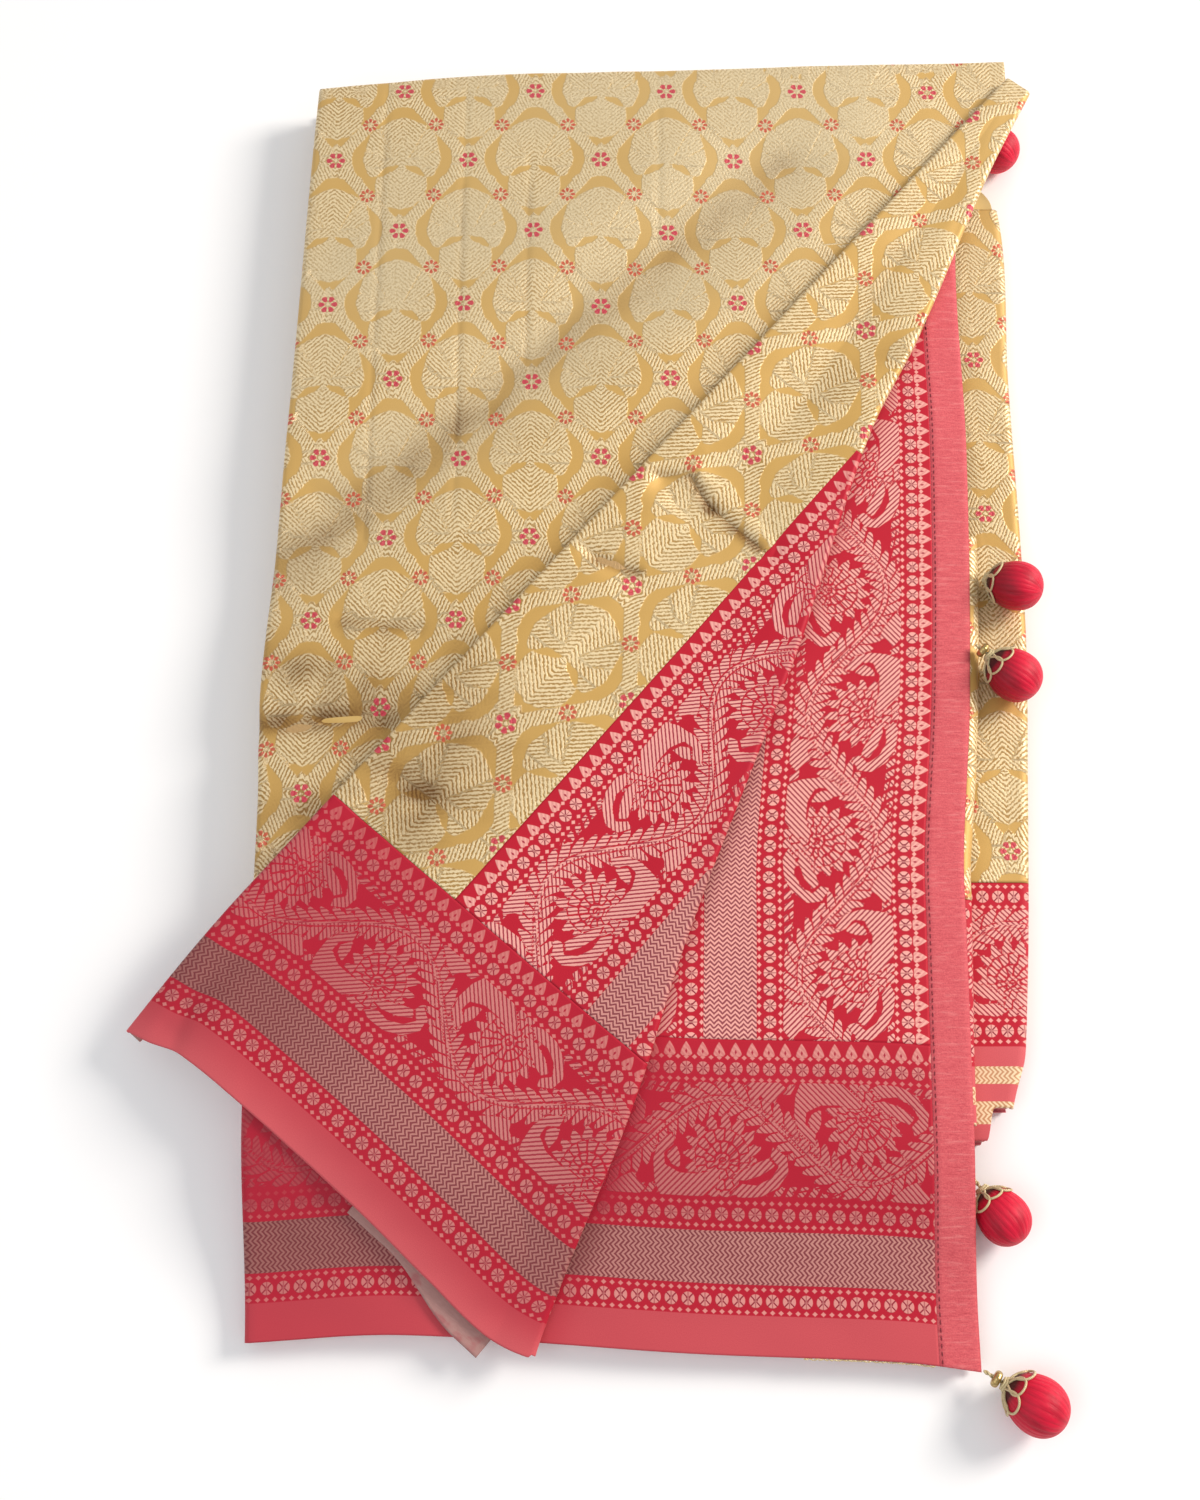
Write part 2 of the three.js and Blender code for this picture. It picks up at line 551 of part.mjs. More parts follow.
// Tassel: a wrapped silk ball, a cap of looped thread with its cord, and a small bead on the cord
function buildTassel(row, number) {
  const length = row.radius * BALL_STRETCH;
  const neck = new THREE.Vector3(...row.neck);
  const centre = new THREE.Vector3(row.x, row.y, row.z);
  const turn = new THREE.Quaternion().setFromUnitVectors(
    new THREE.Vector3(0, 1, 0),
    new THREE.Vector3().subVectors(neck, centre).normalize(),
  );
  const place = (mesh) => {
    mesh.position.copy(centre);
    mesh.quaternion.copy(turn);
  };
  const radiusAt = (height) => {
    const share = clamp(height / length, -1, 1);
    return row.radius * Math.sqrt(1 - share * share) * (1 - BALL_TAPER * share);
  };
  const spans = evenly(-90, 90, 8).map((degrees) => length * Math.sin(THREE.MathUtils.degToRad(degrees)));
  const ballProfile = spans.map((height) => new THREE.Vector2(Math.max(radiusAt(height), 0), height));
  ballProfile[0].x = 0;
  ballProfile[ballProfile.length - 1].x = 0;
  place(add(`tassel_${number}_ball`, new THREE.LatheGeometry(ballProfile, 14), 'silk'));

  const rim = length * CAP_FROM;
  const capHeights = evenly(rim, length * 0.97, 4);
  const shell = (heights, out, up) => (
    heights.map((height) => new THREE.Vector2(radiusAt(height) + out, height + up))
  );
  const capProfile = [
    new THREE.Vector2(0, row.cord),
    new THREE.Vector2(CORD_RADIUS, row.cord),
    new THREE.Vector2(CORD_RADIUS, length + 1.6),
    ...shell([...capHeights].reverse(), 0.4 + CAP_WALL, CAP_WALL),
    ...shell(capHeights, 0.4, 0.25),
    new THREE.Vector2(0, length + 0.5),
  ].reverse();
  place(add(`tassel_${number}_cap`, new THREE.LatheGeometry(capProfile, 12), 'thread'));

  if (!row.bead) return;
  const beadMiddle = length + BEAD.from;
  const beadProfile = evenly(0, 360, 8).map((degrees) => {
    const angle = THREE.MathUtils.degToRad(degrees);
    const radius = BEAD.ring + BEAD.tube * Math.cos(angle);
    return new THREE.Vector2(radius, beadMiddle + BEAD.half * Math.sin(angle));
  });
  beadProfile[beadProfile.length - 1].copy(beadProfile[0]);
  place(add(`tassel_${number}_bead`, new THREE.LatheGeometry(beadProfile, 10), 'bead'));
}

add('folded_layers', foldedLayers(), 'gold');
buildCovers();
buildSideStrips();
buildInnerFolds();
buildFlap();
TASSELS.forEach((row, k) => buildTassel(row, k + 1));

export default garment;
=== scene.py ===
"""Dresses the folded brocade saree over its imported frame: cloth shells, woven patterns, hem stitches and tassels."""
import json
import logging
import math
from dataclasses import dataclass, field
from enum import Enum
from typing import Callable, ClassVar, NamedTuple, Optional, Sequence

import bpy
import numpy as np
from mathutils import Matrix, Vector

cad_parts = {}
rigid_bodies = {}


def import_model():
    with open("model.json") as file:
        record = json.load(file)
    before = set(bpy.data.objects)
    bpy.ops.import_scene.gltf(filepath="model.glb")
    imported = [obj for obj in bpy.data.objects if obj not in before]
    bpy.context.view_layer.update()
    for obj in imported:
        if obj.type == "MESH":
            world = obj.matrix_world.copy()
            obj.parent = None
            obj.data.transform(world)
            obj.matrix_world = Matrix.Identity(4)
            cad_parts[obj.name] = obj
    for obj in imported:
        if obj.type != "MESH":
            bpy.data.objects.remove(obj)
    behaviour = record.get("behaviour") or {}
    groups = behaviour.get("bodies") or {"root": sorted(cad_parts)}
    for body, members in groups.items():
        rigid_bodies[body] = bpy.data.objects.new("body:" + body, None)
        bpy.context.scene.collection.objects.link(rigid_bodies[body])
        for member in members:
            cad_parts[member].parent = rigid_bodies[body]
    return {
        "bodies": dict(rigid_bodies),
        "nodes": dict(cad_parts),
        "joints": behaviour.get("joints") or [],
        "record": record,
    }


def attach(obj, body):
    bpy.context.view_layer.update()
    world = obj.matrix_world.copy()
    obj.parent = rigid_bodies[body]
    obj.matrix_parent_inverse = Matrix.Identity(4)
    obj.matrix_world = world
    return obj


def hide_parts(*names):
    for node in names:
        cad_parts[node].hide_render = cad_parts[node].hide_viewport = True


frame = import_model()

log = logging.getLogger("saree")
logging.basicConfig(level=logging.INFO, format="%(name)s: %(message)s")

MM = 0.001
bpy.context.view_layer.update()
Grid = np.ndarray
Pairs = Sequence[tuple[float, float]]
Rows = Sequence[Sequence[float]]
Piece = bpy.types.Object
Socket = bpy.types.NodeSocket
Material = bpy.types.Material
BORDER_WIDTH = 119.5
HEM_END = 0.8285
PAST_EDGE = 1 + 1 / 300


# Small sums that every piece uses


def linear(code: str) -> tuple[float, float, float, float]:
    """Turns an sRGB hex colour to the linear one that a shader takes.

    Args:
        code: six hex digits, with or without a leading hash.

    Returns:
        Linear red, green and blue, and an alpha of 1.
    """
    digits = code.lstrip("#")
    parts = [int(digits[k:k + 2], 16) / 255 for k in (0, 2, 4)]
    low = [p / 12.92 if p <= 0.04045 else ((p + 0.055) / 1.055) ** 2.4 for p in parts]
    return (low[0], low[1], low[2], 1.0)


def smooth(start: float, end: float, value: Grid) -> Grid:
    """Goes softly from 0 at start to 1 at end."""
    share = np.clip((np.asarray(value, float) - start) / (end - start), 0, 1)
    return share * share * (3 - 2 * share)


def mix(a: Grid, b: Grid, share: Grid) -> Grid:
    """Gives the value a share of the way from a to b."""
    return a + (b - a) * share


def hump(distance: Grid, width: float) -> Grid:
    """Gives 1 at no distance and falls off softly over the width on either side."""
    return np.exp(-((distance / width) ** 2))


def along(table: Pairs, at: Grid) -> Grid:
    """Reads a smooth curve through a short table.

    Args:
        table: pairs of place and value, in order of place.
        at: the places to read.

    Returns:
        The value at each place, held at the table's ends.
    """
    keys, values = np.array(table, float).T
    low, high = np.maximum(np.arange(len(keys)) - 1, 0), np.minimum(np.arange(len(keys)) + 1, len(keys) - 1)
    slopes = (values[high] - values[low]) / (keys[high] - keys[low])
    place = np.clip(np.asarray(at, float), keys[0], keys[-1])
    i = np.clip(np.searchsorted(keys, place, side="left") - 1, 0, len(keys) - 2)
    span = keys[i + 1] - keys[i]
    t = (place - keys[i]) / span
    rise = 2 * t**3 - 3 * t**2 + 1
    start = (t**3 - 2 * t**2 + t) * span * slopes[i]
    end = (t**3 - t**2) * span * slopes[i + 1]
    return rise * values[i] + start + (1 - rise) * values[i + 1] + end


def line_distance(x: Grid, y: Grid, ends: Sequence[float]) -> Grid:
    """Gives the distance of points from a straight line between two ends.

    Args:
        x: first coordinates.
        y: second coordinates.
        ends: x1, y1, x2, y2 of the line.

    Returns:
        The distance of each point.
    """
    x1, y1, x2, y2 = ends[:4]
    dx, dy = x2 - x1, y2 - y1
    t = np.clip(((x - x1) * dx + (y - y1) * dy) / (dx * dx + dy * dy), 0, 1)
    return np.hypot(x - x1 - t * dx, y - y1 - t * dy)


def troughs(x: Grid, y: Grid, rows: Rows) -> Grid:
    """Adds up soft troughs that each follow a straight line.

    Args:
        x: first coordinates.
        y: second coordinates.
        rows: x1, y1, x2, y2, depth and half width of each trough.

    Returns:
        The depth of each point.
    """
    depth = np.zeros(np.broadcast(x, y).shape)
    for row in rows:
        depth = depth + row[4] * hump(line_distance(x, y, row), row[5])
    return depth


def depth_in(x: Grid, y: Grid, corners: Pairs) -> Grid:
    """Gives how deep points lie inside a closed outline, below zero outside it.

    Args:
        x: first coordinates.
        y: second coordinates.
        corners: the outline's corners in order.

    Returns:
        The signed distance of each point.
    """
    sides = list(zip(corners, [*corners[1:], corners[0]]))
    away = np.minimum.reduce([line_distance(x, y, (*a, *b)) for a, b in sides])
    inside = np.zeros(x.shape, bool)
    for (x1, y1), (x2, y2) in sides:
        if y1 != y2:
            inside ^= ((y1 > y) != (y2 > y)) & (x < (x2 - x1) * (y - y1) / (y2 - y1) + x1)
    return np.where(inside, away, -away)


def ripple(x: Grid, y: Grid, size: float, seed: int) -> Grid:
    """Gives a soft uneven swell between about -1 and 1.

    Args:
        x: first coordinates in millimetres.
        y: second coordinates in millimetres.
        size: the usual width of a swell in millimetres.
        seed: which of the swells.

    Returns:
        The swell at each point.
    """
    draw = np.random.default_rng(seed)
    total = np.zeros(np.broadcast(x, y).shape)
    for _ in range(7):
        angle, phase = draw.uniform(0, 2 * math.pi, 2)
        pitch = size * draw.uniform(0.7, 1.9)
        total = total + np.sin((x * math.cos(angle) + y * math.sin(angle)) * 2 * math.pi / pitch + phase)
    return total / 4.0


def facing(grid: Grid) -> Grid:
    """Gives the unit normals of a grid of points, up where rows go away and columns go right."""
    normal = np.cross(np.gradient(grid, axis=1), np.gradient(grid, axis=0))
    return normal / np.maximum(np.linalg.norm(normal, axis=2, keepdims=True), 1e-9)


# The folded form, in millimetres, as the solids have it


@dataclass(frozen=True)
class Fold:
    """The plan and the heights of the folded cloth, with the same sizes as its solids."""

    wall: float = 1.2
    gap: float = 0.6
    lower: float = 11.5
    upper: float = 12.5
    front: float = 9.0
    strip_front: float = -198.0
    strip_step: float = 13.0
    border_share: float = 0.205
    hem_width: float = 15.5
    left: Pairs = ((-275, -145), (-178, -149), (-60, -150), (-15, -152), (60, -149), (154, -146), (230, -144),
                   (296, -142))
    right: Pairs = ((-285, 139), (-200, 139), (-115, 141), (-82, 142), (-13, 149), (102, 155), (196, 156),
                    (262, 162), (312, 163))
    near: Pairs = ((-145, -274), (-86, -271), (31, -278), (109, -281), (142, -285))
    far: Pairs = ((-143, 296), (-57, 303), (41, 306), (163, 312))
    strip: Pairs = ((-199, 157), (-173, 163), (-154, 165), (-112, 169), (-56, 173), (24, 178), (143, 179),
                    (238, 180), (260, 164), (312, 164))
    pallu: Pairs = ((0, 0.38), (0.205, 0.38), (0.4, 0.44), (0.6, 0.63), (0.75, 0.8), (0.83, 0.9))
    pallu_top: float = 0.83
    creases: Rows = (
        (-156, -26, -98, -22, 2.6, 9), (-118, 22, -86, 18, 1.2, 9), (72, 246, -143, 49, 2.4, 26),
        (96, 226, -116, 26, -1.0, 15), (30, 262, -140, 104, -0.8, 16))
    puckers: Rows = (
        (-150, -30, -104, -19, 1.7, 3.4), (-134, -20, -100, -26, 1.2, 2.8), (-120, 24, -88, 18, 1.0, 3.2),
        (-148, -8, -108, 2, -0.8, 7), (-140, -44, -100, -38, -0.8, 7), (-146, 8, -120, 14, 0.7, 3.4),
        (-148, 92, -120, 70, 0.6, 5), (-60, 128, -20, 176, 0.6, 7), (-110, 293, -112, 60, 0.45, 1.7),
        (-72, 294, -73, 70, 0.4, 1.6), (-41, 256, -42, 150, 0.35, 1.6), (20, 285, 19, 210, 0.3, 1.8),
        (-150, -112, -60, -104, -0.5, 8), (-10, -240, 110, -228, 0.4, 9), (-140, -236, -90, -250, 0.5, 7))
    roll: Pairs = ((0.7, 3.3), (0.7, 1.4), (0.1, -0.1), (-1.6, -0.6))

    def plan(self, across: Grid, length: Grid) -> tuple[Grid, Grid]:
        """Places shares across and along the folded cloth.

        Args:
            across: share from the left edge to the right one.
            length: share from the front edge to the back one.

        Returns:
            The x and y of each point.
        """
        near = mix(self.left[0][1], self.right[0][1], across)
        near_y = mix(along(self.near, near), along(self.far, near), length)
        x = mix(along(self.left, near_y), along(self.right, near_y), across)
        return x, mix(along(self.near, x), along(self.far, x), length)

    def crease(self, x: Grid, y: Grid) -> Grid:
        """Gives how deep the main creases lie at each point."""
        return troughs(x, y, self.creases)

    def fine_crease(self, x: Grid, y: Grid) -> Grid:
        """Gives the small puckers, ironed folds and swells of the covering cloth, which fade at its long edges."""
        depth = 0.42 * ripple(x, y, 58, 11) + 0.16 * ripple(x, y, 21, 12) + troughs(x, y, self.puckers)
        return depth * smooth(2, 16, x - along(self.left, y)) * smooth(2, 16, along(self.right, y) - x)

    def roll_points(self) -> Grid:
        """Gives how far out and down cloth lies as it rolls over an edge, from its end to the top."""
        at = np.linspace(0, 3, 9)
        return np.stack([along([(k, point[c]) for k, point in enumerate(self.roll)], at) for c in (0, 1)], 1)

    def lower_height(self, y: Grid) -> Grid:
        """Gives the height of the lower half, which ends short of the front."""
        return self.lower * smooth(-268, -192, y)

    def step_back(self, x: Grid) -> Grid:
        """Gives how far back the lower half's front lies where its outer plies end earlier."""
        return self.strip_step * smooth(147, 151, x)

    def stack_height(self, x: Grid, y: Grid) -> Grid:
        """Gives the height of the folded layers without creases.

        Args:
            x: first coordinates.
            y: second coordinates.

        Returns:
            The height of each point.
        """
        left, right = along(self.left, y), along(self.right, y)
        across = np.clip((x - left) / (right - left), 0, 1)
        upper = mix(self.front, self.upper, smooth(-285, -150, y))
        return self.lower_height(y) + upper - 1.4 * np.abs(2 * across - 1) ** 4 - 1.2 * smooth(270, 312, y)

    def cover_top(self, x: Grid, y: Grid) -> Grid:
        """Gives the top of the cloth that covers the stack, without creases."""
        return self.stack_height(x, y) + self.gap + self.wall

    def hem_share(self, length: Grid) -> Grid:
        """Gives the share across at which the hem's inner line runs."""
        span = self.plan(1.0, length)[0] - self.plan(0.0, length)[0]
        return 1 - self.hem_width / span


@dataclass(frozen=True)
class FlapFold:
    """The flap's own plan: u across from its left fold, v along that fold up to the tip."""

    corner: tuple[float, float] = (-198.5, -150.5)
    across: tuple[float, float] = (0.759, -0.651)
    along_: tuple[float, float] = (0.651, 0.759)
    selvedge: Pairs = ((0, -4), (12, -1), (26, 4), (60, 6), (118, 6.5), (160, 4.5), (188, 3.5), (206, 8), (214, 14))
    fold: Pairs = ((0, 214), (50, 197), (100, 180), (170, 151), (260, 120), (303, 105), (350, 86), (403, 66),
                   (452, 54), (543, 26), (592, 14))
    border_end: float = 122.0
    pallu_start: float = 68.0
    pallu_end: float = 388.0
    tip: float = 592.0
    creases: Rows = (
        (0, 320, 66, 326, 2.4, 7), (-4, 272, 30, 281, 1.8, 6), (15, 10, 15, 150, 2.0, 9))
    puckers: Rows = (
        (20, 334, 64, 329, -1.1, 5), (8, 322, 20, 331, 0.8, 2.3),
        (20, 331, 36, 326, 1.6, 1.8), (36, 326, 66, 325, 1.3, 1.7), (12, 278, 30, 286, -0.8, 5),
        (4, 274, 16, 275, 0.9, 2.1), (16, 275, 31, 282, 1.4, 1.9), (13, 146, 30, 144, 0.8, 6),
        (30, 144, 20, 168, 0.7, 6), (34, 150, 60, 190, -1.0, 12), (22, 4, 15, 20, 0.6, 4),
        (16, 96, 8, 111, 0.5, 4), (60, 210, 96, 236, -0.7, 8), (110, 60, 168, 92, -0.8, 10),
        (26, 200, 30, 262, -0.8, 9), (40, 360, 44, 420, -0.7, 8), (30, 30, 60, 90, -0.7, 11),
        (90, 20, 80, 70, -0.6, 9), (26, 470, 30, 540, -0.5, 7))
    clearance: float = 0.95
    fold_lift: float = 3.2
    fold_ease: float = 45.0
    drop: float = 14.0
    reach: float = 50.0
    under: tuple[float, float, float, float] = (118, 192, -5, 30)
    under_rise: float = 2.0
    under_seat: float = 0.45

    def plan(self, u: Grid, v: Grid) -> tuple[Grid, Grid]:
        """Turns the flap's own coordinates to x and y."""
        return tuple(self.corner[k] + u * self.across[k] + v * self.along_[k] for k in (0, 1))

    def local(self, x: Grid, y: Grid) -> tuple[Grid, Grid]:
        """Turns x and y to the flap's own coordinates."""
        dx, dy = x - self.corner[0], y - self.corner[1]
        return dx * self.across[0] + dy * self.across[1], dx * self.along_[0] + dy * self.along_[1]

    def covers(self, x: Grid, y: Grid, inset: float = 8.0) -> Grid:
        """Tells which points lie under the flap, at least inset millimetres inside its outline."""
        u, v = self.local(x, y)
        return ((u > inset) & (u < along(self.fold, v) - inset) & (v > along(self.selvedge, u) + inset)
                & (v < self.tip - inset))

    def past_fold(self, x: Grid, y: Grid) -> Grid:
        """Gives how far points lie to the right of the flap's right fold, and 0 under the flap."""
        u, v = self.local(x, y)
        return np.maximum(u - along(self.fold, v), 0)

    def seat(self, stack: Fold, x: Grid, y: Grid) -> Grid:
        """Gives the height that the flap rests at, with its drop past the stack's left edge."""
        beyond = np.clip(along(stack.left, y) - x, 0, self.reach) / self.reach
        return stack.cover_top(x, y) + self.clearance - self.drop * (1 - np.cos(beyond * math.pi / 2))

    def height(self, stack: Fold, u: Grid, v: Grid) -> Grid:
        """Gives the inner face of the flap's upper ply.

        Args:
            stack: the folded layers that it lies on.
            u: coordinates across the flap.
            v: coordinates along the flap.

        Returns:
            The height of each point.
        """
        x, y = self.plan(u, v)
        away = np.clip(np.minimum(u, along(self.fold, v) - u), 0, self.fold_ease)
        lift = self.fold_lift * (1 - smooth(0, self.fold_ease, away))
        beside = smooth(self.under[0] - 28, self.under[0] - 4, u)
        rise = self.under_rise * beside * (1 - smooth(self.under[3] + 4, self.under[3] + 30, v))
        crease = troughs(u, v, self.creases) * smooth(3, 13, away)
        return self.seat(stack, x, y) + np.maximum(np.maximum(lift, rise) - crease, 0)

    def fine_crease(self, u: Grid, v: Grid) -> Grid:
        """Gives the small wrinkles and swells of the flap, which fade at its folds."""
        depth = 0.3 * ripple(u, v, 52, 21) + 0.12 * ripple(u, v, 18, 22) - 0.1 + troughs(u, v, self.puckers)
        return depth * smooth(1, 9, np.minimum(u, along(self.fold, v) - u))


# Woven figures, as distances in millimetres that the materials draw sharp


@dataclass(frozen=True)
class GoldMotif:
    """The upright trellis of the gold cloth: flowers at its crossings and a leafy bouquet in each mesh."""

    half_width: float = 31.4
    half_height: float = 38.9
    lace_half: float = 3.0
    diamond: float = 0.25
    steep: float = 26.0
    outline: float = 5.2

    def marks(self, u: Grid, v: Grid) -> dict[str, Grid]:
        """Works out the woven figure at each point of the cloth.

        Args:
            u: cloth coordinate across, from a crossing.
            v: cloth coordinate along, from the same crossing.

        Returns:
            Distances into the figure, and the coordinate across its strokes.
        """
        a, b = u / self.half_width, v / self.half_height
        s, t = (a + b) / 2, (a - b) / 2
        fs, ft = s - np.round(s), t - np.round(t)
        per = 2 * self.half_width * self.half_height / math.hypot(self.half_width, self.half_height)
        du, dv = (fs + ft) * self.half_width, (fs - ft) * self.half_height
        lace = self.lace_half - np.minimum(np.abs(fs), np.abs(ft)) * per
        ladder = np.where(np.abs(fs) < np.abs(ft), du - dv * 0.4, du + dv * 0.4)
        ring = np.abs(du) / self.half_width + np.abs(dv) / self.half_height
        diamond = (self.diamond - ring) * self.steep
        cs, ct = s - 0.5 - np.round(s - 0.5), t - 0.5 - np.round(t - 0.5)
        p, q = (cs + ct) * self.half_width, (cs - ct) * self.half_height
        bouquet, strokes = self.bouquet(p, q)
        frame = -bouquet - self.outline
        figure = np.maximum.reduce([lace, diamond, bouquet, frame])
        stroke = np.where(np.maximum(lace, frame) >= bouquet, ladder, strokes)
        stroke = np.where(diamond >= np.maximum(lace, bouquet), ring * self.steep, stroke)
        return {"figure": np.clip(figure, -4, 4), "stroke": stroke}

    def bouquet(self, p: Grid, q: Grid) -> tuple[Grid, Grid]:
        """Draws the bouquet: a domed leaf with drooping sides over a heart-shaped lower leaf.

        Args:
            p: across from the mesh's middle.
            q: up from the mesh's middle.

        Returns:
            Distance into the bouquet, and the coordinate across its strokes.
        """
        wide = np.abs(p)
        dome = (1 - np.hypot(p / 18.6, (q - 2) / 21.5)) * 18
        dome = dome - 0.8 * np.abs(np.sin(np.arctan2(q, wide + 1e-6) * 4.0))
        hang = -3.0 - 6.5 * hump(wide - 13.5, 4.4) + 0.3 * np.sin(wide)
        dome = np.minimum(dome, q - hang)
        lower = (1 - np.hypot(p / 12.5, (q + 14) / 13.5)) * 11
        lower = np.minimum(lower, -(q + 4.4 + 0.42 * wide - 2.2 * hump(wide, 3.0)))
        lower = lower - 0.6 * np.abs(np.sin(wide * 0.55))
        stem = np.minimum(1.5 - wide, 8 - np.abs(q + 4))
        angle = np.arctan2(q + 6, wide + 1e-6)
        ribs = np.minimum(np.abs(angle - 0.62), np.abs(angle - 1.12)) * np.hypot(wide, q + 6) - 0.25
        dome = np.minimum(dome, np.where(q > 1, ribs, 4))
        figure = np.maximum.reduce([dome, lower, stem])
        slant = np.where(q > -4, -(wide + q), wide - q) / math.sqrt(2)
        fan = np.where((angle > 0.62) & (angle < 1.12) & (q > 1), (wide - q) / math.sqrt(2), slant)
        return figure, fan


class Row(Enum):
    """The kinds of woven row in a border or a pallu."""

    PLAIN = "plain"
    DISCS = "discs"
    TWILL = "twill"
    SCROLL = "scroll"
    SPADES = "spades"
    GILT = "gilt"


@dataclass(frozen=True)
class Band:
    """One woven row: its kind, where it starts and ends, and which way it points."""

    kind: Row
    start: float
    end: float
    points: int = 1


BORDER_ROWS = (Band(Row.PLAIN, -9, 15), Band(Row.DISCS, 15, 26), Band(Row.TWILL, 26.5, 46.5),
               Band(Row.DISCS, 47, 58.5), Band(Row.SCROLL, 59, 103), Band(Row.DISCS, 103.5, 112.5),
               Band(Row.SPADES, 112.5, BORDER_WIDTH))
PALLU_COLUMNS = (Band(Row.SPADES, 6.0, 0.6, -1), Band(Row.DISCS, 4.5, 13), Band(Row.SCROLL, 13.5, 59),
                 Band(Row.DISCS, 59.5, 69), Band(Row.TWILL, 69.5, 91), Band(Row.DISCS, 91.5, 100.5),
                 Band(Row.SCROLL, 101, 147), Band(Row.DISCS, 147, 156), Band(Row.SPADES, 156, 162))
FLAP_COLUMNS = (Band(Row.SPADES, 7.4, 1.4, -1), Band(Row.DISCS, 6.5, 16), Band(Row.SCROLL, 16.5, 61),
                Band(Row.DISCS, 61.5, 70.5), Band(Row.TWILL, 71, 93), Band(Row.DISCS, 93.5, 102.5),
                Band(Row.SCROLL, 103, 150))
STRIP_ROWS = (Band(Row.DISCS, 1.5, 10.5), Band(Row.SCROLL, 11, 56), Band(Row.DISCS, 56.5, 67),
              Band(Row.PLAIN, 68, 76), Band(Row.GILT, 76, 83), Band(Row.PLAIN, 83, 90), Band(Row.GILT, 90, 99),
              Band(Row.PLAIN, 99, 130))


@dataclass(frozen=True)
class Scroll:
    """The vine band: a waved stem with leaves on both sides, and in each bend a feathered bird round a ringed eye."""

    half_period: float = 56.0
    sweep: float = 0.355
    eye: float = -0.2
    leaf_pitch: float = 5.2
    leaf_reach: float = 6.2
    back: Pairs = ((24.5, -13.6), (26.9, -8), (27.6, -0.5), (25.5, 6.1), (19.8, 10.8), (18.9, 6.1), (23, 2.8),
                   (22.6, -1.6), (17, -4.4), (10, -4.6), (5, -3.4), (0.5, -3.3), (1.9, -7.8), (8.5, -13.6))
    head: Pairs = ((16.6, -3.2), (20.5, -1.4), (22.2, 1.8), (20.6, 4.8), (18.2, 6.2), (16.6, 2))
    hook: Pairs = ((-2.8, -11.4), (-7.5, -13.6), (-15.1, -12.8), (-21.7, -9.4), (-26.2, -3.3), (-25.4, 2.6),
                   (-19.8, 6.2), (-18.6, 2.6), (-22, -1.2), (-18.9, -5.6), (-13.2, -8.4), (-7.5, -7.9))
    lobe: Pairs = ((-2.6, -6.1), (-8.4, -2.6), (-14.6, 0.6), (-18.1, 2), (-20.6, -1.2), (-15.3, -4.8), (-8.5, -7))
    bud: Pairs = ((-9.5, 30), (-13, 32), (-22, 32), (-26, 28.4), (-22.5, 25.4), (-21, 22.4), (-16.5, 24.4))

    def marks(self, s: Grid, t: Grid, width: float) -> tuple[Grid, Grid, Grid]:
        """Works out the vine, its leaves and its birds.

        Args:
            s: coordinate along the band.
            t: coordinate across it, from 0 to width.
            width: the band's width.

        Returns:
            Distance into the figure, a distance whose sign changes between neighbouring cells, and which way
            the floats slant.
        """
        k = np.round(s / self.half_period)
        side = np.where(np.mod(k, 2) == 0, 1.0, -1.0)
        p, q = s - k * self.half_period, (t - width / 2) * side
        figure, cell, slant = self.vine(p, q, width)
        slant = slant * side
        y = q - self.eye * width
        fan, fan_cell = self.fan(p, y)
        layers = [(fan, fan_cell, 0.1)]
        for corners in (self.bud, self.lobe, self.hook, self.head, self.back):
            layers.append((depth_in(p, y, corners), np.full(p.shape, 3.0), 0.5))
        for depth, edge, gap in layers:
            on = depth > -gap
            figure, cell = np.where(on, depth, figure), np.where(on, edge, cell)
            slant = np.where(on, side, slant)
        rim = np.minimum(t, width - t)
        filler = np.minimum(rim - 0.6, 1.6 - np.abs(np.mod(s + 0.6 * t, 4.6) - 2.3))
        figure = np.where((rim < 4.6) & (figure < -0.8), np.minimum(filler, -0.8 - figure), figure)
        return np.clip(np.minimum(figure, rim * 1.2), -3, 3), np.clip(cell, -3, 3), slant

    def vine(self, p: Grid, q: Grid, width: float) -> tuple[Grid, Grid, Grid]:
        """Draws the waved stem and its leaves.

        Args:
            p: along the band, from the eye.
            q: across the band from its middle, with the stem on the high side.
            width: the band's width.

        Returns:
            Distance into the vine, its cell distance, and which side of the stem each point is.
        """
        steps = np.linspace(-1.24 * self.half_period, 1.24 * self.half_period, 150)
        curve = self.sweep * width * np.cos(math.pi * steps / self.half_period)
        lengths = np.concatenate([[0], np.cumsum(np.hypot(np.diff(steps), np.diff(curve)))])
        flat_p, flat_q = p.ravel(), q.ravel()
        near = np.empty(flat_p.size, int)
        for start in range(0, flat_p.size, 20000):
            part = slice(start, start + 20000)
            near[part] = ((flat_p[part, None] - steps) ** 2 + (flat_q[part, None] - curve) ** 2).argmin(1)
        near = near.reshape(p.shape)
        tangent = np.arctan2(np.gradient(curve), np.gradient(steps))[near]
        dx, dy = p - steps[near], q - curve[near]
        off = -dx * np.sin(tangent) + dy * np.cos(tangent)
        run = lengths[near] + dx * np.cos(tangent) + dy * np.sin(tangent)
        away = np.abs(off)
        place = (run - 0.8 * away) / self.leaf_pitch
        part = place - np.floor(place) - 0.5
        reach = 1.3 + self.leaf_reach * np.clip(1 - (2 * np.abs(part)) ** 2, 0, 1) ** 0.6
        leaf = np.minimum(reach - away, away - 1.3)
        edge = (0.5 - np.abs(part)) * self.leaf_pitch * 0.8 * np.where(np.mod(np.floor(place), 2) == 0, 1, -1)
        stem = 0.9 - away
        on = stem > -0.3
        return np.where(on, stem, leaf), np.where(on, 3.0, edge), np.where(off > 0, 1.0, -1.0)

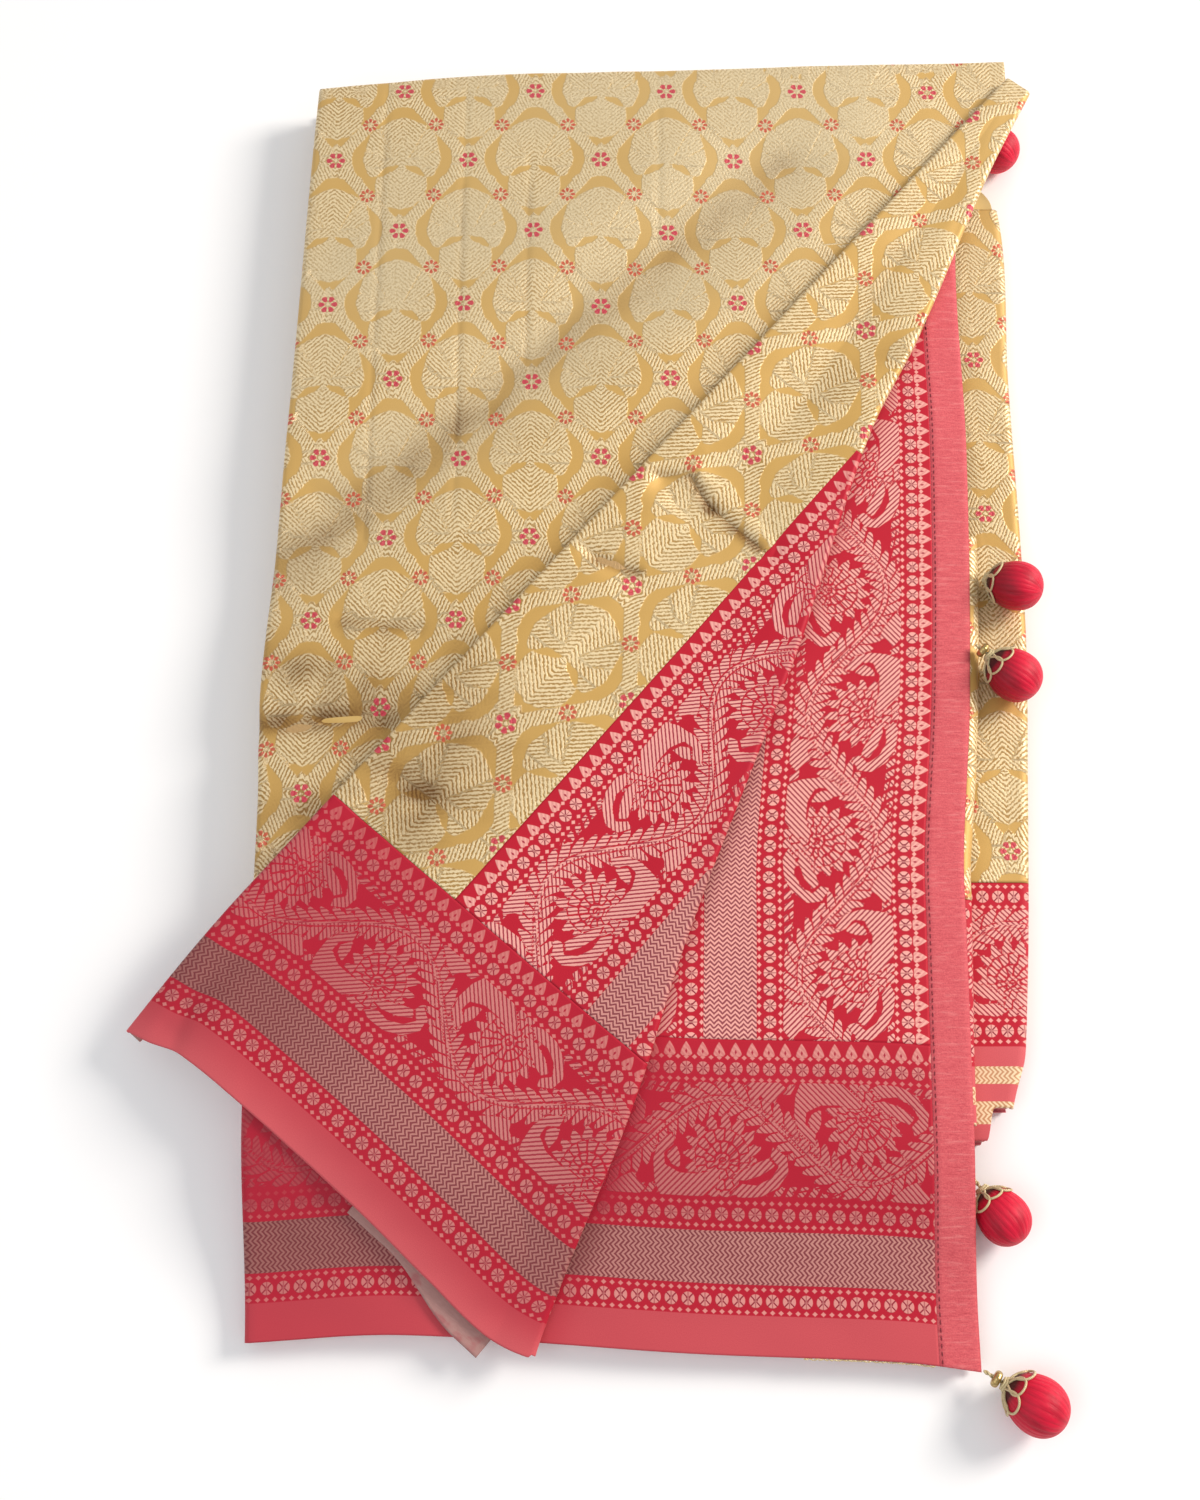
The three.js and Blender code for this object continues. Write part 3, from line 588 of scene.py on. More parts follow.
    def fan(self, x: Grid, y: Grid) -> tuple[Grid, Grid]:
        """Draws the bird's tail: a ringed eye, two rows of petals and a row of pointed ones.

        Args:
            x: along the band, from the eye.
            y: across the band from the eye, with the vine on the high side.

        Returns:
            Distance into the tail and its cell distance.
        """
        turn = np.arctan2(y, x)
        r = np.hypot(x, y) / (1 + 0.2 * np.clip(np.sin(turn), 0, 1)) + 1e-6
        rings, counts = np.array([0.0, 1.3, 2.9, 6.6, 10.6]), np.array([1, 1, 13, 17, 17])
        band = np.clip(np.searchsorted(rings, r, side="right") - 1, 0, 4)
        sector = turn / (2 * math.pi) * counts[band] + 0.5 * (band % 2)
        part = sector - np.floor(sector) - 0.5
        across = np.where(counts[band] == 1, 9, (0.5 - np.abs(part)) * 2 * math.pi * r / counts[band])
        outer = np.where(band < 4, rings[np.minimum(band + 1, 4)] - r, 9)
        sign = np.where(np.mod(np.floor(sector) + band, 2) == 0, 1.0, -1.0)
        edge = np.minimum.reduce([across, r - rings[band], outer]) * sign
        half = 2.0 * np.sqrt(np.clip(1 - ((r - 11.4) / 4.3) ** 2, 0, 1)) * np.clip((16.2 - r) / 3.0, 0, 1) ** 0.5
        petal = half - np.abs(part) * 2 * math.pi * r / 17
        return np.where(band < 4, 10.6 - r + 0.4, petal), np.where((band == 4) & (r > 11.2), 3.0 * sign, edge)


@dataclass(frozen=True)
class BrocadeRows:
    """Turns a list of woven rows to the distances that the brocade material draws."""

    rows: Sequence[Band]
    scroll: Scroll = field(default_factory=Scroll)
    shift: float = 0.0
    flip: float = 1.0

    def marks(self, s: Grid, w: Grid) -> dict[str, Grid]:
        """Works out every row at each point.

        Args:
            s: coordinate along the rows.
            w: coordinate across the rows.

        Returns:
            One grid of distances for each kind of row.
        """
        shape = np.broadcast(s, w).shape
        s, w = np.broadcast_to(s, shape), np.broadcast_to(w, shape)
        empty = {"plain": -9, "twill": -9, "gilt": -9, "figure": -9, "cell": 2, "disc": 9, "spade": -9, "slant": 1}
        made = {name: np.full(shape, float(value)) for name, value in empty.items()}
        for band in self.rows:
            low, high = min(band.start, band.end), max(band.start, band.end)
            inside = np.minimum(w - low, high - w)
            if band.kind in (Row.PLAIN, Row.TWILL, Row.GILT):
                made[band.kind.value] = np.maximum(made[band.kind.value], np.clip(inside, -9, 9))
            elif band.kind is Row.DISCS:
                made["disc"] = np.minimum(made["disc"], np.abs(w - (low + high) / 2))
            elif band.kind is Row.SPADES:
                rise = (w - band.start) * (1 if band.end > band.start else -1)
                made["spade"] = np.where(inside > -3, np.clip(rise, -9, 12), made["spade"])
            elif band.kind is Row.SCROLL:
                strip = inside > -1.5
                if strip.any():
                    along_band = s[strip] * self.flip + self.shift
                    figure, cell, slant = self.scroll.marks(along_band, w[strip] - low, high - low)
                    made["figure"][strip], made["cell"][strip] = figure, cell
                    made["slant"][strip] = slant * self.flip
        return made


# Meshes of cloth


def rim(number: Grid) -> Grid:
    """Lists the rim of a grid of point numbers, anticlockwise seen from above."""
    return np.concatenate([number[0, :-1], number[:-1, -1], number[-1, :0:-1], number[:0:-1, 0]])


def placed(name: str, data: bpy.types.ID) -> Piece:
    """Makes an object at the origin and links it to the scene.

    Args:
        name: the object's name.
        data: its mesh, curve, lamp or camera.

    Returns:
        The object.
    """
    made = bpy.data.objects.new(name, data)
    bpy.context.scene.collection.objects.link(made)
    return made


def mesh_object(name: str, points: Grid, faces: Sequence[Sequence[int]], uv: Optional[Grid] = None,
                marks: Optional[dict[str, Grid]] = None) -> Piece:
    """Makes a smooth mesh object at the origin, with its place in its mesh, from the points that its faces use.

    Args:
        name: the piece's name.
        points: points in millimetres.
        faces: the corner numbers of each face.
        uv: a pair of cloth coordinates for each point.
        marks: further values by name, one for each point.

    Returns:
        The object.
    """
    corners = np.fromiter((corner for face in faces for corner in face), int)
    used = np.zeros(len(points), bool)
    used[corners] = True
    corners = (np.cumsum(used) - 1)[corners]
    starts = np.concatenate([[0], np.cumsum([len(face) for face in faces])[:-1]])
    mesh = bpy.data.meshes.new(name)
    mesh.vertices.add(int(used.sum()))
    mesh.vertices.foreach_set("co", (points[used] * MM).astype(np.float32).ravel())
    mesh.loops.add(len(corners))
    mesh.loops.foreach_set("vertex_index", corners.astype(np.int32))
    mesh.polygons.add(len(faces))
    mesh.polygons.foreach_set("loop_start", starts.astype(np.int32))
    mesh.update(calc_edges=True)
    if uv is not None:
        layer = mesh.uv_layers.new(name="Cloth")
        layer.data.foreach_set("uv", uv[used][corners].astype(np.float32).ravel())
    for key, values in (marks or {}).items():
        mark = mesh.attributes.new(key, "FLOAT", "POINT")
        mark.data.foreach_set("value", values[used].astype(np.float32))
    mesh.validate()
    mesh.shade_smooth()
    return placed(name, mesh)


@dataclass
class Cloth:
    """A thin closed shell from two grids: fine where it shows, and with large faces where it is hidden."""

    outer: Grid
    inner: Grid
    uv: tuple[Grid, Grid]
    marks: dict[str, Grid]
    hidden: Optional[Grid] = None
    block: int = 8

    def build(self, name: str) -> Piece:
        """Makes the shell's mesh object, with the mark back on its inner side.

        Args:
            name: the piece's name.

        Returns:
            The object.
        """
        marks = {key: np.tile(grid.ravel(), 2) for key, grid in self.marks.items()}
        marks["back"] = np.repeat([0.0, 1.0], self.outer.shape[0] * self.outer.shape[1])
        points = np.concatenate([self.outer.reshape(-1, 3), self.inner.reshape(-1, 3)])
        uv = np.stack(self.uv, 2).reshape(-1, 2)
        return mesh_object(name, points, self.faces(), np.tile(uv, (2, 1)), marks)

    def faces(self) -> list[list[int]]:
        """Makes the faces of both grids and of the rim between them.

        Returns:
            The corner numbers of each face, outer grid first and the rim last.
        """
        rows, columns = self.outer.shape[:2]
        n = self.block
        if (rows - 1) % n or (columns - 1) % n:
            raise ValueError(f"a cloth grid of {rows} by {columns} points doesn't divide into blocks of {n}")
        down, over = (rows - 1) // n, (columns - 1) // n
        hidden = np.zeros((rows, columns), bool) if self.hidden is None else self.hidden
        coarse = np.array([[hidden[j * n:j * n + n + 1, i * n:i * n + n + 1].all() for i in range(over)]
                           for j in range(down)])
        number = np.arange(rows * columns).reshape(rows, columns)
        jj, ii = np.nonzero(~np.kron(coarse, np.ones((n, n), bool)).astype(bool))
        made = np.stack([number[jj, ii], number[jj, ii + 1], number[jj + 1, ii + 1], number[jj + 1, ii]], 1).tolist()
        made += [self.ring(number, j, i, coarse) for j, i in zip(*np.nonzero(coarse))]
        under, every = number + rows * columns, np.ones((down, over), bool)
        made += [self.ring(under, j, i, every)[::-1] for j in range(down) for i in range(over)]
        walk = rim(number)
        after = np.roll(walk, -1)
        made += np.stack([walk, walk + rows * columns, after + rows * columns, after], 1).tolist()
        return made

    def ring(self, number: Grid, j: int, i: int, coarse: Grid) -> list[int]:
        """Lists the corners of one large face, with each fine point of a side that meets small faces.

        Args:
            number: the grid of point numbers.
            j: the block's row.
            i: the block's column.
            coarse: which blocks are large faces.

        Returns:
            The face's corners, anticlockwise from above.
        """
        n, (down, over) = self.block, coarse.shape
        sides = (
            (number[j * n, i * n:i * n + n + 1], j > 0 and coarse[j - 1, i]),
            (number[j * n:j * n + n + 1, i * n + n], i < over - 1 and coarse[j, i + 1]),
            (number[j * n + n, i * n:i * n + n + 1][::-1], j < down - 1 and coarse[j + 1, i]),
            (number[j * n:j * n + n + 1, i * n][::-1], i > 0 and coarse[j, i - 1]),
        )
        made: list[int] = []
        for points, plain in sides:
            made += [int(points[0])] if plain else points[:-1].tolist()
        return made


# Shaders


@dataclass
class Net:
    """A material's nodes, made one at a time by one function."""

    name: str
    material: Material = field(init=False)
    usual_output: ClassVar[dict[str, int]] = {"Attribute": 2, "TexCoord": 3, "TexWave": 1}
    usual_type: ClassVar[dict[str, str]] = {"Mix": "RGBA"}

    def __post_init__(self) -> None:
        """Starts the material of that name."""
        self.material = bpy.data.materials.new(self.name)
        self.material.use_nodes = True

    def put(self, socket: Socket, value: object) -> None:
        """Links a socket, or sets it to a number, a vector or a hex colour.

        Args:
            socket: the input socket.
            value: a wire or a socket to link, a value to set, or None to leave it.
        """
        value = getattr(value, "socket", value)
        if isinstance(value, Socket):
            self.material.node_tree.links.new(value, socket)
        elif value is not None:
            socket.default_value = linear(value) if isinstance(value, str) else value

    def node(self, kind: str, *inputs: object, out: Optional[int] = None, **settings: object) -> "Wire":
        """Adds a node with its settings, links and values. A Mix node mixes colours.

        Args:
            kind: the node's type without its ShaderNode prefix.
            inputs: what to put in each input that the node has in use, in their order.
            out: which output to return, or None for the usual one of its kind.
            settings: properties of the node itself.

        Returns:
            The chosen output.
        """
        made = self.material.node_tree.nodes.new("ShaderNode" + kind)
        if kind in self.usual_type:
            made.data_type = self.usual_type[kind]
        for name, value in settings.items():
            setattr(made, name, value)
        for socket, value in zip([s for s in made.inputs if s.enabled], inputs):
            self.put(socket, value)
        outputs = [s for s in made.outputs if s.enabled]
        return Wire(self, outputs[self.usual_output.get(kind, 0) if out is None else out])

    def surface(self, bump: object = None, depth: float = 0.3, **values: object) -> None:
        """Links or sets inputs of the material's surface, by their names in small letters.

        Args:
            bump: height in millimetres, or None.
            depth: the bump's strength.
            values: a wire, a number or a hex colour for each named input.
        """
        shader = self.material.node_tree.nodes["Principled BSDF"]
        for name, value in values.items():
            self.put(shader.inputs[name.replace("_", " ").title().replace("Ior", "IOR")], value)
        if bump is not None:
            self.put(shader.inputs["Normal"], self.node("Bump", depth, MM, None, bump))


@dataclass(frozen=True)
class Wire:
    """A number that runs through a shader, for sums in plain writing."""

    net: Net
    socket: Socket

    def math(self, operation: str, *others: object) -> "Wire":
        """Adds one sum with this number first."""
        return self.net.node("Math", self, *others, operation=operation)

    def __add__(self, other: object) -> "Wire":
        """Adds."""
        return self.math("ADD", other)

    def __sub__(self, other: object) -> "Wire":
        """Takes away."""
        return self.math("SUBTRACT", other)

    def __mul__(self, other: object) -> "Wire":
        """Multiplies."""
        return self.math("MULTIPLY", other)

    def __truediv__(self, other: object) -> "Wire":
        """Divides."""
        return self.math("DIVIDE", other)

    def over(self, start: float, end: float) -> "Wire":
        """Goes softly from 0 at start to 1 at end, or back where end is the smaller."""
        limits = (*sorted((start, end)), float(start > end), float(end > start))
        return self.net.node("MapRange", self, *limits, interpolation_type="SMOOTHSTEP")


@dataclass(frozen=True)
class Finish:
    """A finish, whose draw method fills the nodes of the material of its name."""

    name: str

    def draw(self, net: Net) -> None:
        """Fills the material's nodes."""
        raise NotImplementedError(self.name)

    def build(self) -> Material:
        """Makes the material.

        Returns:
            The material.
        """
        net = Net(self.name)
        self.draw(net)
        return net.material


@dataclass(frozen=True)
class ZariGold(Finish):
    """Gold brocade: silk ground in old gold, with metal thread laid in short floats that catch the light."""

    name: str = "zari_gold_brocade"
    ground: str = "#DDB468"
    ground_deep: str = "#C4984C"
    thread: str = "#F6E2B6"
    shade: str = "#A67C3C"
    # The metal thread's colour where painted sheen is set.
    painted_silver_sheen: str = "#E2D2AE"
    stroke_pitch: float = 1.6
    half_width: float = 31.4
    half_height: float = 38.9

    def flower(self, net: Net, du: Wire, dv: Wire, petals: int, inner: float, outer: float) -> Wire:
        """Draws one ring of petals round a crossing.

        Args:
            net: the material's nodes.
            du: across from the flower's middle, in millimetres.
            dv: along from it.
            petals: how many petals.
            inner: the ring's inner radius.
            outer: the ring's outer radius.

        Returns:
            1 on a petal and 0 off it.
        """
        radius = (du * du + dv * dv).math("SQRT")
        turn = (dv.math("ARCTAN2", du) * petals).math("COSINE")
        ring = radius.over(inner - 0.25, inner + 0.25) * (radius - turn * 0.35).over(outer + 0.25, outer - 0.25)
        return ring * turn.over(-0.75, -0.35)

    def draw(self, net: Net) -> None:
        """Draws the trellis with its flowers and bouquets, and the floats on them."""
        # The trellis follows the cloth's own coordinates, in millimetres from a crossing.
        uv = net.node("UVMap", uv_map="Cloth")
        u, v = (net.node("SeparateXYZ", uv, out=k) for k in (0, 1))
        a, b = u / self.half_width, v / self.half_height
        s, t = (a + b) * 0.5, (a - b) * 0.5
        fs, ft = s - s.math("ROUND"), t - t.math("ROUND")
        hs, ht = s - (s - 0.5).math("ROUND") - 0.5, t - (t - 0.5).math("ROUND") - 0.5
        large = self.flower(net, (fs + ft) * self.half_width, (fs - ft) * self.half_height, 6, 1.55, 4.1)
        small = self.flower(net, (hs + ft) * self.half_width, (hs - ft) * self.half_height, 8, 1.5, 3.35).math(
            "MAXIMUM", self.flower(net, (fs + ht) * self.half_width, (fs - ht) * self.half_height, 8, 1.5, 3.35))
        # The floats are finer than the picture's dots, so they are drawn at 1.6 mm in place of about 1 mm.
        # The painted sheen mark turns thread and ground silvery grey. The painted shade mark darkens creases, folds
        # and the lower left towards a dark brownish colour.
        figure, stroke, cool, brown, turn, back = (
            net.node("Attribute", attribute_name=k) for k in ("figure", "stroke", "cool", "brown", "turn", "back"))
        wobble = net.node("TexNoise", uv, 0.55, 3.0, 0.6) - 0.5
        wave = ((stroke + wobble * 1.6) * (2 * math.pi / self.stroke_pitch)).math("SINE")
        dash = net.node("TexNoise", uv, 0.9, 2.0, 0.6) - 0.5
        worn = net.node("TexNoise", uv, 0.06, 3.0, 0.6).over(0.35, 0.65)
        lit = (wave * (worn * 0.4 + 0.6) * (cool * -0.7 + 1.0) + dash * 3.2).over(-0.8, 0.5)
        shown = (figure + wobble * 1.1).over(-0.35, 0.35)
        fine = net.node("TexNoise", uv, 3.4, 2.0)
        cloud = net.node("TexNoise", uv, 0.02, 3.0)
        ground = net.node("Mix", fine * 0.7 + cloud * 0.3, self.ground_deep, self.ground)
        # Painted sheen: the ground and the thread go silvery grey, and the floats lose contrast, where the mark is
        # set.
        ground = net.node("Mix", cool * 0.4, ground, "#CDB37E")
        thread = net.node("Mix", cool, self.thread, self.painted_silver_sheen)
        gaps = net.node("Mix", (worn * -0.25 + 0.25).math("MAXIMUM", cool), self.shade, "#BEA880")
        woven = net.node("Mix", lit, gaps, thread)
        woven = net.node("Mix", fine * 0.3, woven, self.ground)
        colour = net.node("Mix", shown, ground, woven)
        # Painted shade towards a dark brownish colour, a little weaker on the floats.
        colour = net.node("Mix", brown * (lit * -0.25 + 1.0), colour, "#6A4206")
        speck = net.node("TexNoise", uv, 0.33, 2.0)
        petal = net.node("Mix", speck, "#C81E52", "#D02E40")
        halo = net.node("Mix", (large.math("MAXIMUM", small)) * 0.9, colour, net.node("Mix", large, "#CC5238", petal))
        right_side = net.node("Mix", turn, halo, "#B23A46")
        final = net.node("Mix", back, right_side, net.node("Mix", fine, "#B08C5A", "#C9A470"))
        height = shown * lit * 0.22 + shown * 0.12 + fine * 0.1
        rough = fine * 0.2 + 0.42 - shown * lit * 0.12
        net.surface(height, 0.6, base_color=final, roughness=rough, metallic=0.25, sheen_weight=0.08,
                    sheen_roughness=0.5, anisotropic=0.3)


@dataclass(frozen=True)
class CrimsonBrocade(Finish):
    """Crimson silk brocade: a flat red ground with rose-gold metal thread, whose floats lie in slanting lines."""

    name: str = "crimson_silk_brocade"
    ground: str = "#CC0A2C"
    ground_deep: str = "#AE0824"
    rose: str = "#FBB9AC"
    rose_deep: str = "#A52C40"
    coral: str = "#E2686B"
    coral_deep: str = "#C64A54"
    disc_pitch: float = 6.6
    hatch_pitch: float = 2.3

    def draw(self, net: Net) -> None:
        """Draws the rows of the border and the pallu, and the floats on them."""
        uv = net.node("UVMap", uv_map="Cloth")
        s, w = (net.node("SeparateXYZ", uv, out=k) for k in (0, 1))
        disc, spade, plain, twill, gilt, figure, cell, slant, shade, back = (
            net.node("Attribute", attribute_name=k)
            for k in ("disc", "spade", "plain", "twill", "gilt", "figure", "cell", "slant", "shade", "back"))
        fine = net.node("TexNoise", uv, 2.6, 2.0)
        wobble = net.node("TexNoise", uv, 0.7, 2.0) - 0.5
        near = s.math("PINGPONG", self.disc_pitch / 2)
        # Discs with a crossed heart, and a line of dots on either side of each row.
        radius = (near * near + disc * disc).math("SQRT")
        round_ = radius.over(2.75, 2.35)
        cross = (near - disc).math("ABSOLUTE").over(0.5, 0.25) * radius.over(0.2, 0.8)
        rosette = near.math("MINIMUM", disc).over(0.32, 0.15)
        dots = s.math("PINGPONG", self.disc_pitch / 4)
        dot = ((disc - 4.3).math("ABSOLUTE") * 1.0 + dots * 0.9).over(1.15, 0.7)
        # Spades that point away from the discs.
        body = (spade / 5.9).over(1.0, 0.0).math("SQRT") * 2.5 * (spade.over(-0.4, 1.3) * 0.5 + 0.5)
        tip = (body - near).over(-0.2, 0.3) * spade.over(0.0, 0.4) * spade.over(6.0, 5.6)
        notch = (near + (spade - 2.0).math("ABSOLUTE") * 0.45).over(0.6, 0.35)
        # The vine's floats slant one way in one cell and the other way in the next.
        way = slant.over(-0.05, 0.05) * 2.0 - 1.0
        hatch = ((s + w * way) * (2 * math.pi / self.hatch_pitch) + wobble * 1.5).math("SINE").over(-0.75, 0.05)
        outline = cell.math("ABSOLUTE").over(0.16, 0.46)
        inside = (figure + wobble * 0.3).over(-0.02, 0.34)
        leafy = inside * outline
        # Herringbone: slanting strokes that turn at every rib.
        rib = w.math("PINGPONG", 1.7)
        bone = ((s + rib * 1.0) * (2 * math.pi / 1.95) + wobble * 2.4).math("SINE").over(-0.7, 0.6)
        in_twill, in_plain, in_gilt = twill.over(-0.1, 0.2), plain.over(-0.2, 0.2), gilt.over(-0.1, 0.1)
        ground = net.node("Mix", fine, self.ground_deep, self.ground)
        lit = net.node("Mix", fine, "#E89C92", self.rose)
        colour = net.node("Mix", leafy, ground, net.node("Mix", hatch, self.rose_deep, lit))
        disc_colour = net.node("Mix", cross.math("MAXIMUM", rosette * 0.6), lit, "#8E1D33")
        colour = net.node("Mix", round_, colour, disc_colour)
        colour = net.node("Mix", dot, colour, lit)
        spade_colour = net.node("Mix", notch.math("MAXIMUM", hatch - 0.75), lit, "#A92B3E")
        colour = net.node("Mix", tip, colour, spade_colour)
        colour = net.node("Mix", in_twill, colour, net.node("Mix", bone, "#94404A", lit))
        colour = net.node("Mix", in_plain, colour, net.node("Mix", fine, self.coral_deep, self.coral))
        colour = net.node("Mix", in_gilt, colour, net.node("Mix", bone, "#C99268", "#F2D8B0"))
        # Painted shade: where the shade mark is set, figures and ground go towards these darker colours, and the twill
        # towards its own.
        painted_shade_colour = net.node("Mix", leafy.math("MAXIMUM", round_), "#B00C2C", "#A82838")
        colour = net.node("Mix", shade, colour, net.node("Mix", in_twill, painted_shade_colour, "#702C2C"))
        final = net.node("Mix", back, colour, net.node("Mix", fine, "#9C6862", "#BC8880"))
        raised = leafy * hatch + round_ * (cross * -1.0 + 1.0) + in_twill * bone * 0.8 + tip * 0.6
        net.surface(raised * 0.2 + fine * 0.08, 0.5, base_color=final, roughness=fine * 0.15 + 0.52, metallic=0.08,
                    sheen_weight=0.06, sheen_roughness=0.45, specular_ior_level=0.35)


@dataclass(frozen=True)
class CoralSilk(Finish):
    """Plain coral silk of the hem: an even matt weave with slubs across it."""

    name: str = "coral_plain_silk"
    light: str = "#E86A6E"
    deep: str = "#C44652"

    def draw(self, net: Net) -> None:
        """Draws the weave's slubs and pale and dark streaks."""
        uv = net.node("UVMap", uv_map="Cloth")
        stretched = net.node("Mapping", uv, None, None, (0.5, 2.2, 1.0))
        slub = net.node("TexNoise", stretched, 0.7, 4.0, 0.7)
        fine = net.node("TexNoise", uv, 1.5, 3.0, 0.7)
        across = net.node("TexNoise", net.node("Mapping", uv, None, None, (0.25, 2.2, 1.0)), 0.35, 3.0, 0.6)
        colour = net.node("Mix", (fine * 0.5 + slub * 0.5).over(0.3, 0.7), self.deep, self.light)
        colour = net.node("Mix", across.over(0.5, 0.75) * 0.5, colour, "#EE8E8C")
        colour = net.node("Mix", across.over(0.45, 0.25) * 0.55, colour, "#B83A46")
        shade = net.node("Attribute", attribute_name="shade")
        colour = net.node("Mix", shade, colour, "#8E1A2E")
        final = net.node("Mix", net.node("Attribute", attribute_name="back"), colour, "#B9605F")
        net.surface(slub * 0.3 + fine * 0.25, 0.7, base_color=final, roughness=0.62, metallic=0.0, sheen_weight=0.08,
                    sheen_roughness=0.4, specular_ior_level=0.3)


@dataclass(frozen=True)
class ReverseWeave(Finish):
    """The brocade's reverse: the same pattern in cut ends, greyish pink and hairy."""

    name: str = "brocade_reverse_weave"
    light: str = "#C59A92"
    deep: str = "#96625E"

    def draw(self, net: Net) -> None:
        """Draws the cut ends and blotches of the reverse."""
        uv = net.node("UVMap", uv_map="Cloth")
        hair = net.node("TexNoise", net.node("Mapping", uv, None, None, (0.35, 2.4, 1.0)), 0.9, 4.0, 0.7)
        blotch = net.node("TexNoise", uv, 0.12, 3.0)
        colour = net.node("Mix", hair * 0.6 + blotch * 0.4, self.deep, self.light)
        colour = net.node("Mix", blotch.over(0.55, 0.7) * 0.5, colour, "#A8414A")
        net.surface(hair * 0.2, 0.5, base_color=colour, roughness=0.75, metallic=0.05, sheen_weight=0.2)


@dataclass(frozen=True)
class FoldedPlies(Finish):
    """The edges of the folded plies: gold folds, and coral and crimson ones where the border lies."""

    name: str = "folded_brocade_edges"

    def draw(self, net: Net) -> None:
        """Draws the gold and red folds, with painted shade in the furrows between them."""
        uv = net.node("UVMap", uv_map="Cloth")
        run = net.node("TexNoise", net.node("Mapping", uv, None, None, (0.25, 3.0, 1.0)), 0.5, 3.0, 0.6)
        fine = net.node("TexNoise", uv, 1.6, 2.0)
        gold = net.node("Mix", fine, "#B48A3E", "#E0C07A")
        red = net.node("Mix", fine, "#B2283E", "#DC6468")
        flecks = net.node("Mix", run.over(0.56, 0.62), red, "#EDC0A8")
        border, groove_shade = (net.node("Attribute", attribute_name=k) for k in ("red", "groove_shade"))
        colour = net.node("Mix", border.over(0.35, 0.65), gold, flecks)
        # Painted shade in the furrows between plies.
        colour = net.node("Mix", groove_shade * 0.75, colour, net.node("Mix", border, "#6E4A1E", "#6E0F22"))
        net.surface(fine * 0.15 + run * 0.1, 0.5, base_color=colour, roughness=0.6, metallic=0.1, sheen_weight=0.15)


@dataclass(frozen=True)
class TasselSilk(Finish):
    """Wrapped silk floss: soft bright threads side by side, with a streak of light along each."""

    name: str = "wrapped_silk_floss"
    light: str = "#F4053E"
    deep: str = "#940422"

    def draw(self, net: Net) -> None:
        """Draws the strands, their patches of light, painted shade in the furrows, and the dark neck, whose mark also
        holds painted shade on the ball's left side.
        """
        uv = net.node("UVMap", uv_map="Cloth")
        strand = net.node("TexNoise", net.node("Mapping", uv, None, None, (1.0, 0.08, 1.0)), 2.2, 3.0, 0.6)
        groove_shade = net.node("Attribute", attribute_name="groove_shade")
        patch = net.node("TexNoise", net.node("Mapping", uv, None, None, (1.0, 0.4, 1.0)), 0.16, 3.0)
        colour = net.node("Mix", strand, "#C8052C", self.light)
        colour = net.node("Mix", patch.over(0.48, 0.7) * 0.5, colour, "#96041F")
        # Painted shade in the furrows between bundles.
        colour = net.node("Mix", groove_shade * 0.3, colour, self.deep)
        # The neck mark paints the dark neck, and painted shade on the ball's left side.
        colour = net.node("Mix", net.node("Attribute", attribute_name="neck"), colour, "#4A1012")
        net.surface(strand * 0.3, 0.7, base_color=colour, roughness=0.5, metallic=0.0, sheen_weight=0.04,
                    sheen_roughness=0.35, specular_ior_level=0.35)


@dataclass(frozen=True)
class TasselThread(Finish):
    """Cream and gold twisted thread, looped over the ball and wound round its neck."""

    name: str = "twisted_gold_thread"
    light: str = "#F2E4B8"
    deep: str = "#A98C4E"

    def draw(self, net: Net) -> None:
        """Draws the twist of the thread and its fuzz."""
        place = net.node("TexCoord")
        twist = net.node("TexWave", place, 900.0, 3.0, 2.0, 1.5, bands_direction="DIAGONAL")
        fuzz = net.node("TexNoise", place, 1400.0, 2.0)
        colour = net.node("Mix", twist * 0.7 + fuzz * 0.3, self.deep, self.light)
        net.surface(twist * 0.15, 0.5, base_color=colour, roughness=0.45, metallic=0.15, sheen_weight=0.2)


@dataclass(frozen=True)
class BeadMetal(Finish):
    """A small cast brass bead, rubbed bright with dark in its hollows."""

    name: str = "cast_brass"

    def draw(self, net: Net) -> None:
        """Draws the rubbed brass."""
        place = net.node("TexCoord")
        worn = net.node("TexNoise", place, 700.0, 3.0)
        colour = net.node("Mix", worn, "#8A6A34", "#E3C98A")
        net.surface(worn * 0.1, 0.4, base_color=colour, roughness=worn * 0.2 + 0.22, metallic=0.95)


# The pieces of cloth


def steps(start: float, end: float, blocks: int) -> Grid:
    """Gives evenly spaced values for a number of blocks of eight."""
    return np.linspace(start, end, 8 * blocks + 1)


@dataclass
class Dresser:
    """Holds each look's material and slot, and places each piece on its body."""

    looks: dict[str, tuple[Material, str]]

    def finish(self, piece: Piece, look: str, *nodes: str) -> None:
        """Gives a piece its material and its body.

        Args:
            piece: the finished object.
            look: which look.
            nodes: the solids that it stands for.
        """
        material, slot = self.looks[look]
        piece.data.materials.clear()
        piece.data.materials.append(material)
        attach(piece, "root")
        if nodes:
            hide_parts(*nodes)
        log.info("%s: %d vertices", piece.name, len(piece.data.vertices))

    def sheet(self, name: str, cloth: Cloth, look: str, node: str, flat: tuple[float, float],
              rests_on: Sequence[str] = ("folded_plies",), area: Optional[float] = None) -> None:
        """Makes and dresses one sheet of cloth.

        Args:
            name: the piece's name.
            cloth: its shell.
            look: which look.
            node: the solid that it stands for.
            flat: width and length of the flat cut in metres; not used.
            rests_on: the pieces that it lies on; not used.
            area: the flat area in square metres, where the cut isn't a rectangle; not used.
        """
        piece = cloth.build(name)
        self.finish(piece, look, node)


